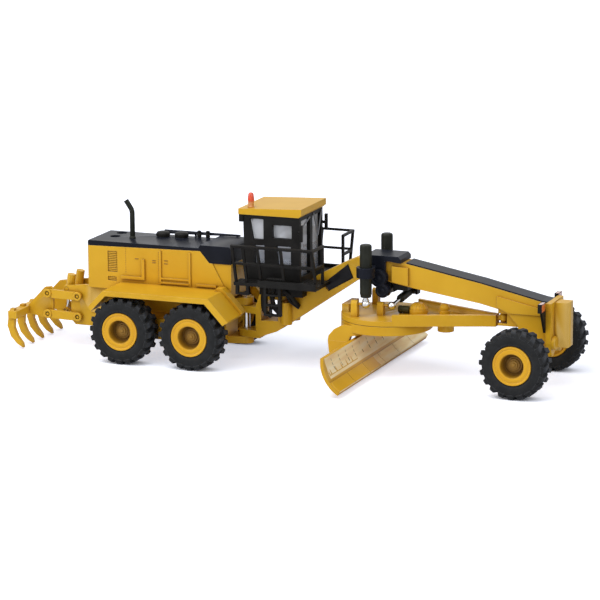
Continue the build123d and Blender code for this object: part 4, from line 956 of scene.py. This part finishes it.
# on the hood: caps with milled rims, posts, the exhaust pipe, grilles, door studs and latches;
# a grille is x, width, lowest z, step and count of its fins, a row of studs x, z, step, count
hood = {"caps": [(-31.05, 3.7), (-26.5, 3.7)], "posts": [(-22.7, 4.8), (-20.6, 4.8)],
        "cap": [(0, -0.3), (1.5, -0.3), (1.5, 0.36), (1.44, 0.48), (1.28, 0.66), (0.9, 0.78),
                (0.45, 0.82), (0, 0.83)],
        "tooth": [(1.5, 0, -0.2), (1.5, 0, 0.34)], "toothRadius": 0.07, "teeth": 32,
        "post": [(0, -0.3), (0.5, -0.3), (0.5, 0.3), (0.36, 0.42), (0.36, 0.62),
                 (0.47, 0.74), (0.44, 0.95), (0.25, 1.06), (0, 1.08)],
        "stack": [(-36.6, -0.55, 25.2), (-36.6, -0.55, 31.0), (-36.66, -0.55, 31.5),
                  (-36.84, -0.55, 31.95), (-37.14, -0.55, 32.4), (-38.08, -0.55, 33.78)],
        "stackRadius": 0.57, "stackBore": 1.2,
        "stackFoot": [(0, 25.2), (0.72, 25.2), (0.72, 25.55), (0.6, 25.72), (0.5, 25.8),
                      (0, 25.8)],
        "side": 5.9, "soft": 0.05, "fin": (0.31, 0.06), "finShare": 0.62,
        "grilles": [(-39.15, 2.1, 18.68, 0.4, 12), (-39.25, 1.95, 16.68, 0.34, 3)],
        "stud": [(0, -0.05), (0.1, -0.05), (0.1, 0.03), (0.06, 0.07), (0, 0.08)],
        "studs": [(-27.85, 16.9, 0.52, 14), (-35.9, 18.7, 0.52, 11)],
        "latch": (0.45, 0.05, 0.1, 0.08),
        "latches": [(-29.0, 21.73), (-29.0, 21.27), (-26.1, 21.9), (-26.1, 21.2),
                    (-33.2, 21.85)]}


def makeHoodTop():
    for number, (x, y) in enumerate(hood["caps"]):
        middle = at(x, y, hoodTopAt(x))
        finished(f"hoodCap{number}", meshOf(turned(hood["cap"], middle, sides=48)), absBlack,
                 "rear_frame")
        tooth = pipeAlong([Vector(p) * mm for p in hood["tooth"]], hood["toothRadius"], 6)
        repeated(f"hoodCapRim{number}", aroundTree, tooth, {
            "Count": hood["teeth"], "Centre": middle}, absBlack, "rear_frame")
    for number, (x, y) in enumerate(hood["posts"]):
        post = meshOf(turned(hood["post"], at(x, y, hoodTopAt(x)), sides=28))
        finished(f"hoodPost{number}", post, absBlack, "rear_frame")
    pipe = pipeAlong([at(*p) for p in hood["stack"]], hood["stackRadius"], 28,
                     hood["stackBore"])
    x, y, z = hood["stack"][0]
    foot = turned(hood["stackFoot"], at(x, y, 0), sides=28)
    finished("exhaustPipe", meshOf(pipe, foot), barrelGrey, "rear_frame", ["exhaust_stack"],
             50)


def makeHoodSides():
    inner, outer = hood["fin"]
    halfLength, sunk, proud, halfHeight = hood["latch"]
    for side, way in bothSides:
        y = way * hood["side"]
        for number, (x, width, z, step, count) in enumerate(hood["grilles"]):
            fin = softBlock((x - width / 2, x + width / 2), (y - way * inner, y - way * outer),
                            (z, z + step * hood["finShare"]), hood["soft"], 1)
            repeated(f"grille{side}{number}", rowTree, fin, {
                "Count": count, "Step": (0, 0, step * mm), "Rows": 1}, enamelYellow,
                "rear_frame")
        # the door studs and latches are brown: a painted shade
        for number, (x, z, step, count) in enumerate(hood["studs"]):
            stud = turned(hood["stud"], at(x, y, z), (0, way, 0), 10)
            repeated(f"doorStuds{side}{number}", rowTree, stud, {
                "Count": count, "Step": (0, 0, step * mm), "Rows": 1}, paintedShadeEnamel,
                "rear_frame")
        bars = [softBlock((x - halfLength, x + halfLength), (y - way * sunk, y + way * proud),
                          (z - halfHeight, z + halfHeight), hood["soft"])
                for x, z in hood["latches"]]
        finished(f"doorLatches{side}", meshOf(*bars), paintedShadeEnamel, "rear_frame")


makeHoodTop()
makeHoodSides()
print("hood made")

# cab: beacon, wipers, and a seat with arms, console and steering wheel, measured from the
# floor; a block is its spans in x, y and z and the radius of its edges, and a plate its
# outline of x and z, half its width, the radius and the steps of its edges
cab = {"beacon": (-5.8, -5.5, 35.27),
       "beaconProfile": [(0, 0), (0.76, 0), (0.76, 0.22), (0.68, 0.32), (0.66, 1.3),
                         (0.75, 1.36), (0.74, 1.5), (0.66, 2.3), (0.58, 2.9), (0.46, 3.12),
                         (0.25, 3.22), (0, 3.24)],
       "floor": 19.5,
       "blocks": [((-3.3, 0.3), (-1.7, 1.7), (2.2, 3.3), 0.45),
                  ((-2.8, -0.2), (-1.2, 1.2), (0, 2.3), 0.2),
                  ((-4.0, -3.1), (-0.9, 0.9), (8.1, 9.4), 0.3),
                  ((-2.8, 0.0), (-2.4, -1.8), (4.2, 4.8), 0.2),
                  ((-2.8, 0.0), (1.8, 2.4), (4.2, 4.8), 0.2)],
       "plates": [([(-3.2, 2.8), (-2.2, 3.0), (-3.0, 8.0), (-3.9, 8.0)], 1.6, 0.35, 3),
                  ([(2.2, 0), (3.8, 0), (3.6, 3.6), (2.4, 4.4)], 0.8, 0.15, 2)],
       "ring": [(0.95, -0.1), (1.05, -0.1), (1.1, 0), (1.05, 0.1), (0.95, 0.1), (0.9, 0)],
       "ringPlace": (2.3, 4.9), "ringAxis": (-0.55, 0, 0.84),
       "wiperX": 6.28, "wiperRadius": 0.16,
       "wipers": [[(1.0, 33.5), (3.45, 28.3), (5.7, 33.5)], [(-5.4, 31.7), (-1.3, 33.1)]]}


def makeCab():
    beacon = turned(cab["beaconProfile"], at(*cab["beacon"]), sides=36)
    finished("beaconLens", meshOf(beacon), beaconStyrene, "front_frame", ["beacon"])
    floor = cab["floor"]
    blocks = [softBlock(xSpan, ySpan, [floor + z for z in zSpan], radius)
              for xSpan, ySpan, zSpan, radius in cab["blocks"]]
    plates = [sidePlate([(x, floor + z) for x, z in outline], (-half, half), radius, steps)
              for outline, half, radius, steps in cab["plates"]]
    ringX, ringZ = cab["ringPlace"]
    ring = turned(cab["ring"], at(ringX, 0, floor + ringZ), cab["ringAxis"], 32, closed=True)
    finished("cabSeat", meshOf(*blocks, *plates, ring), vinylSeat, "front_frame",
             ["cab_interior"])
    bars = [pipeAlong([at(cab["wiperX"], y, z) for y, z in line], cab["wiperRadius"], 8)
            for line in cab["wipers"]]
    finished("wipers", meshOf(*bars), wiperGrey, "front_frame")


# decks: raised studs of the tread plate, in fields of x, y, count and rows, and the ribbed box
# at the ladder
deck = {"top": 19.5, "pitch": 0.8, "fields": [(-7.2, 10.2, 23, 4), (6.9, 6.0, 6, 4)],
        "stud": [(0, -0.05), (0.16, -0.05), (0.16, 0.03), (0.096, 0.09), (0, 0.1)],
        "box": ((-0.5, 3.2), (9.9, 8.9), (19.48, 20.75)), "ribs": 7, "ribShare": 0.45,
        "rib": (0.12, 0.1), "ribInset": 0.1, "boxSoft": 0.12, "ribSoft": 0.04}


def makeDeckDetail():
    (back, front), (outer, inner), (low, high) = deck["box"]
    ribPitch = (front - back) / deck["ribs"]
    inset = deck["ribInset"]
    for side, way in bothSides:
        for number, (x, y, count, rows) in enumerate(deck["fields"]):
            stud = turned(deck["stud"], at(x, way * y, deck["top"]), sides=8)
            repeated(f"treadStuds{side}{number}", rowTree, stud, {
                "Count": count, "Step": (deck["pitch"] * mm, 0, 0), "Rows": rows,
                "Row Step": (0, -way * deck["pitch"] * mm, 0)}, absBlack, "front_frame")
        box = softBlock((back, front), (way * outer, way * inner), (low, high),
                        deck["boxSoft"])
        finished(f"stepBox{side}", meshOf(box), absBlack, "front_frame")
        proud, sunk = deck["rib"]
        rib = softBlock((back + inset, back + inset + ribPitch * deck["ribShare"]),
                        (way * (outer + proud), way * (outer - sunk)),
                        (low + inset, high - inset), deck["ribSoft"], 1)
        repeated(f"stepBoxRibs{side}", rowTree, rib, {
            "Count": deck["ribs"], "Step": (ribPitch * mm, 0, 0), "Rows": 1}, absBlack,
            "front_frame")


# moulded hoses and struts under the cab, down to the frame
under = {"hoses": [[(0.8, 4.9, 17.6), (1.9, 5.1, 17.0), (3.0, 4.7, 15.9), (3.7, 3.9, 14.6),
                    (4.0, 2.6, 13.4)],
                   [(-0.8, 5.0, 17.4), (-1.1, 5.1, 15.6), (-1.0, 4.7, 13.8),
                    (-0.4, 3.7, 12.4), (0.0, 2.5, 11.4)],
                   [(-3.3, 4.9, 17.4), (-3.4, 4.9, 14.0), (-3.3, 4.4, 12.2),
                    (-2.6, 2.6, 10.6)]],
         "radius": 0.52, "bossPlace": (1.1, 2.4),
         "boss": [(0, 13.8), (0.75, 13.8), (0.75, 14.25), (0.6, 14.45), (0.35, 14.5),
                  (0.3, 14.8), (0, 14.82)]}


def makeUnderwork():
    bossX, bossY = under["bossPlace"]
    for side, way in bothSides:
        hoses = [pipeAlong(smoothLine([(x, way * y, z) for x, y, z in line]),
                           under["radius"], 12) for line in under["hoses"]]
        finished(f"cabHoses{side}", meshOf(*hoses), absBlack, "front_frame")
        boss = turned(under["boss"], at(bossX, way * bossY, 0), sides=28)
        finished(f"columnBoss{side}", meshOf(boss), paintedShadeEnamel, "front_frame")


makeCab()
makeDeckDetail()
makeUnderwork()
print("cab and deck made")

# nose: the bare black plate on the gooseneck, lamp lenses and caps, bosses of the push plate
nose = {"plate": [(9.62, 18.8), (15.61, 23.63), (16.85, 20.55), (11.02, 17.13)],
        "plateShare": 0.95, "plateY": (2.25, 2.44), "soft": 0.06,
        "lampY": 6.0, "lampHalf": 1.15, "lens": ((60.92, 61.06), (17.25, 18.85)),
        "cap": ((60.3, 61.0), (18.95, 19.06)), "capSoft": 0.05,
        "boss": [(0, 0.0), (1.48, 0.0), (1.48, 0.55), (1.34, 0.82), (1.05, 0.9), (0.8, 0.83),
                 (0, 0.83)], "bossPlace": (62.2, 2.9, 10.0)}


def makeNose():
    middle = [sum(p[i] for p in nose["plate"]) / len(nose["plate"]) for i in (0, 1)]
    outline = [tuple(m + (v - m) * nose["plateShare"] for v, m in zip(p, middle))
               for p in nose["plate"]]
    (lensX, lensZ), (capX, capZ), half = nose["lens"], nose["cap"], nose["lampHalf"]
    bossX, bossY, bossZ = nose["bossPlace"]
    for side, way in bothSides:
        plate = sidePlate(outline, [way * y for y in nose["plateY"]], nose["soft"])
        finished(f"neckPlate{side}", meshOf(plate), panelBlack, "front_frame")
        width = (way * nose["lampY"] - half, way * nose["lampY"] + half)
        lens = softBlock(lensX, width, lensZ, nose["soft"])
        # the far lens is pale rose: a painted highlight
        finished(f"lampLens{side}", meshOf(lens), lampAmber if way < 0 else lampRose,
                 "front_frame")
        cap = softBlock(capX, width, capZ, nose["capSoft"], 2)
        finished(f"lampCap{side}", meshOf(cap), lampRose, "front_frame")
        boss = turned(nose["boss"], at(bossX, way * bossY, bossZ), (1, 0, 0), 40)
        finished(f"plateBoss{side}", meshOf(boss), enamelYellow, "front_frame")


# saddle: the round bosses that its arms turn on beside the beam, as x, z and size
saddle = {"bosses": [(23.0, 21.2, 1.25), (23.9, 18.5, 1.0)],
          "profile": [(0, 2.4), (1.55, 2.4), (1.6, 3.6), (1.45, 3.95), (1.1, 4.1),
                      (0.95, 3.96), (0.5, 3.96), (0.35, 4.1), (0, 4.15)]}


def makeSaddle():
    for side, way in bothSides:
        bosses = [turned([(r * size, y) for r, y in saddle["profile"]], at(x, 0, z),
                         (0, way, 0), 36) for x, z, size in saddle["bosses"]]
        finished(f"saddleBoss{side}", meshOf(*bosses), lacquerBlack, "front_frame")


# ripper: bosses on its pins, bright rods with yellow eyes
ripper = {"boss": [(0.5, 4.95), (1.02, 4.95), (1.02, 5.16), (0.92, 5.28), (0.62, 5.28),
                   (0.5, 5.16)],
          "pin": [(0, 4.95), (0.46, 4.95), (0.46, 5.1), (0.3, 5.1), (0.26, 5.02), (0, 5.02)],
          "pins": {"beam": ("ripper_beam", [(-55.95, 12.1), (-55.95, 7.4)]),
                   "root": ("rear_frame", [(-48.5, 11.9), (-48.5, 7.2)])},
          "trunnion": (-51.5, 13.3), "eye": (-52.4, 7.75), "y": 2.3,
          "rodFrom": 1.6, "rodEnd": 0.7, "rod": 0.4,
          "eyeRing": [(0.62, -0.5), (0.95, -0.5), (1.0, -0.42), (1.0, 0.42), (0.95, 0.5),
                      (0.62, 0.5)]}


def makeRipper():
    for label, (body, pins) in ripper["pins"].items():
        places = [(at(x, 0, z), (0, way, 0)) for x, z in pins for way in (-1, 1)]
        rings = [turned(ripper["boss"], *place, 32, closed=True) for place in places]
        finished(f"{label}PinBosses", meshOf(*rings), enamelYellow, body)
        # the pin heads are brown: a painted shade
        heads = [turned(ripper["pin"], *place, 20) for place in places]
        finished(f"{label}PinHeads", meshOf(*heads), paintedShadeEnamel, body)
    rods, eyes = [], []
    for way in (-1, 1):
        top, end = [at(x, way * ripper["y"], z) for x, z in (ripper["trunnion"], ripper["eye"])]
        first, last = ripper["rodFrom"], (end - top).length / mm - ripper["rodEnd"]
        rods.append(turned([(0, first), (ripper["rod"], first), (ripper["rod"], last),
                            (0, last)], top, (end - top).normalized(), 24))
        eyes.append(turned(ripper["eyeRing"], end, (0, 1, 0), 32, closed=True))
    finished("ripperRods", meshOf(*rods), steelBright, "ripper_rods", ["ripper_rods"])
    finished("ripperEyes", meshOf(*eyes), enamelYellow, "ripper_rods")


makeNose()
makeSaddle()
makeRipper()
for item in repeatedItems:
    bpy.data.objects.remove(item)
print("nose, saddle and ripper made")

# a pale table and room: seen by the camera, the table's own light fills it to white outside
# the soft shadow, which is where something closer than contact shelters it
studio = {"floor": "#EEF0F6", "glow": "#EEF2FF", "room": 0.3, "half": 6.0,
          "lift": 0.62, "fade": (0.1, 0.24),  # metres from the middle
          "contact": 5.0, "shadow": (0.1, 0.62),
          "lamps": [
              # place and target in millimetres, size in millimetres, watts
              ((-60, -160, 420), (0, 0, 10), 420, 1.35),
              ((-320, -420, 260), (0, 0, 15), 300, 0.75),
              ((380, -260, 240), (20, 0, 15), 260, 0.42)]}


def buildRoom(scene):
    # white where the camera, a reflection or a view through glass meets the room
    scene.world = bpy.data.worlds.new("room")
    scene.world.use_nodes = True
    tree = scene.world.node_tree
    tree.nodes.clear()
    path = addNode(tree, "ShaderNodeLightPath", output=None).outputs
    seen = path["Is Camera Ray"]
    for kind in ("Is Glossy Ray", "Is Transmission Ray"):
        seen = addNode(tree, "ShaderNodeMath", larger, {0: seen, 1: path[kind]})
    strength = addNode(tree, "ShaderNodeMapRange", links={
        "Value": seen, "To Min": studio["room"]})
    light = addNode(tree, "ShaderNodeBackground", links={
        "Color": "#FFFFFF", "Strength": strength})
    addNode(tree, "ShaderNodeOutputWorld", links={"Surface": light}, output=None)


def buildTable(scene):
    half = studio["half"]
    mesh = bpy.data.meshes.new("tableTop")
    mesh.from_pydata([(-half, -half, 0), (half, -half, 0), (half, half, 0), (-half, half, 0)],
                     [], [(0, 1, 2, 3)])
    table = bpy.data.objects.new("tableTop", mesh)
    scene.collection.objects.link(table)
    material, tree = newMaterial("paleCard")
    place = addNode(tree, "ShaderNodeTexCoord", output="Object")
    away = addNode(tree, "ShaderNodeVectorMath", {"operation": "LENGTH"}, {0: place}, "Value")
    lift = addNode(tree, "ShaderNodeMapRange", links={
        "Value": away, "From Min": studio["fade"][0], "From Max": studio["fade"][1],
        "To Min": studio["lift"]})
    shelter = addNode(tree, "ShaderNodeAmbientOcclusion", {"samples": 8}, {
        "Distance": studio["contact"] * mm}, "AO")
    clear = addNode(tree, "ShaderNodeMapRange", links={
        "Value": shelter, "From Min": studio["shadow"][0], "From Max": studio["shadow"][1]})
    for mask in (clear, addNode(tree, "ShaderNodeLightPath", output="Is Camera Ray")):
        lift = addNode(tree, "ShaderNodeMath", times, {0: lift, 1: mask})
    mesh.materials.append(surfaced(material, {
        "Base Color": studio["floor"], "Roughness": 0.9, "Specular IOR Level": 0.1,
        "Emission Color": studio["glow"], "Emission Strength": lift}))


def hangLamps(scene):
    for number, (place, target, size, energy) in enumerate(studio["lamps"]):
        data = bpy.data.lights.new(f"softbox{number}", "AREA")
        data.shape = "SQUARE"
        data.size = size * mm
        data.energy = energy
        lamp = bpy.data.objects.new(f"softbox{number}", data)
        scene.collection.objects.link(lamp)
        spot = Vector(place) * mm
        aim = (Vector(target) * mm - spot).to_track_quat("-Z", "Y")
        lamp.matrix_world = Matrix.Translation(spot) @ aim.to_matrix().to_4x4()


bpy.context.scene.view_settings.view_transform = "Standard"
buildRoom(bpy.context.scene)
buildTable(bpy.context.scene)
hangLamps(bpy.context.scene)
print("studio built")
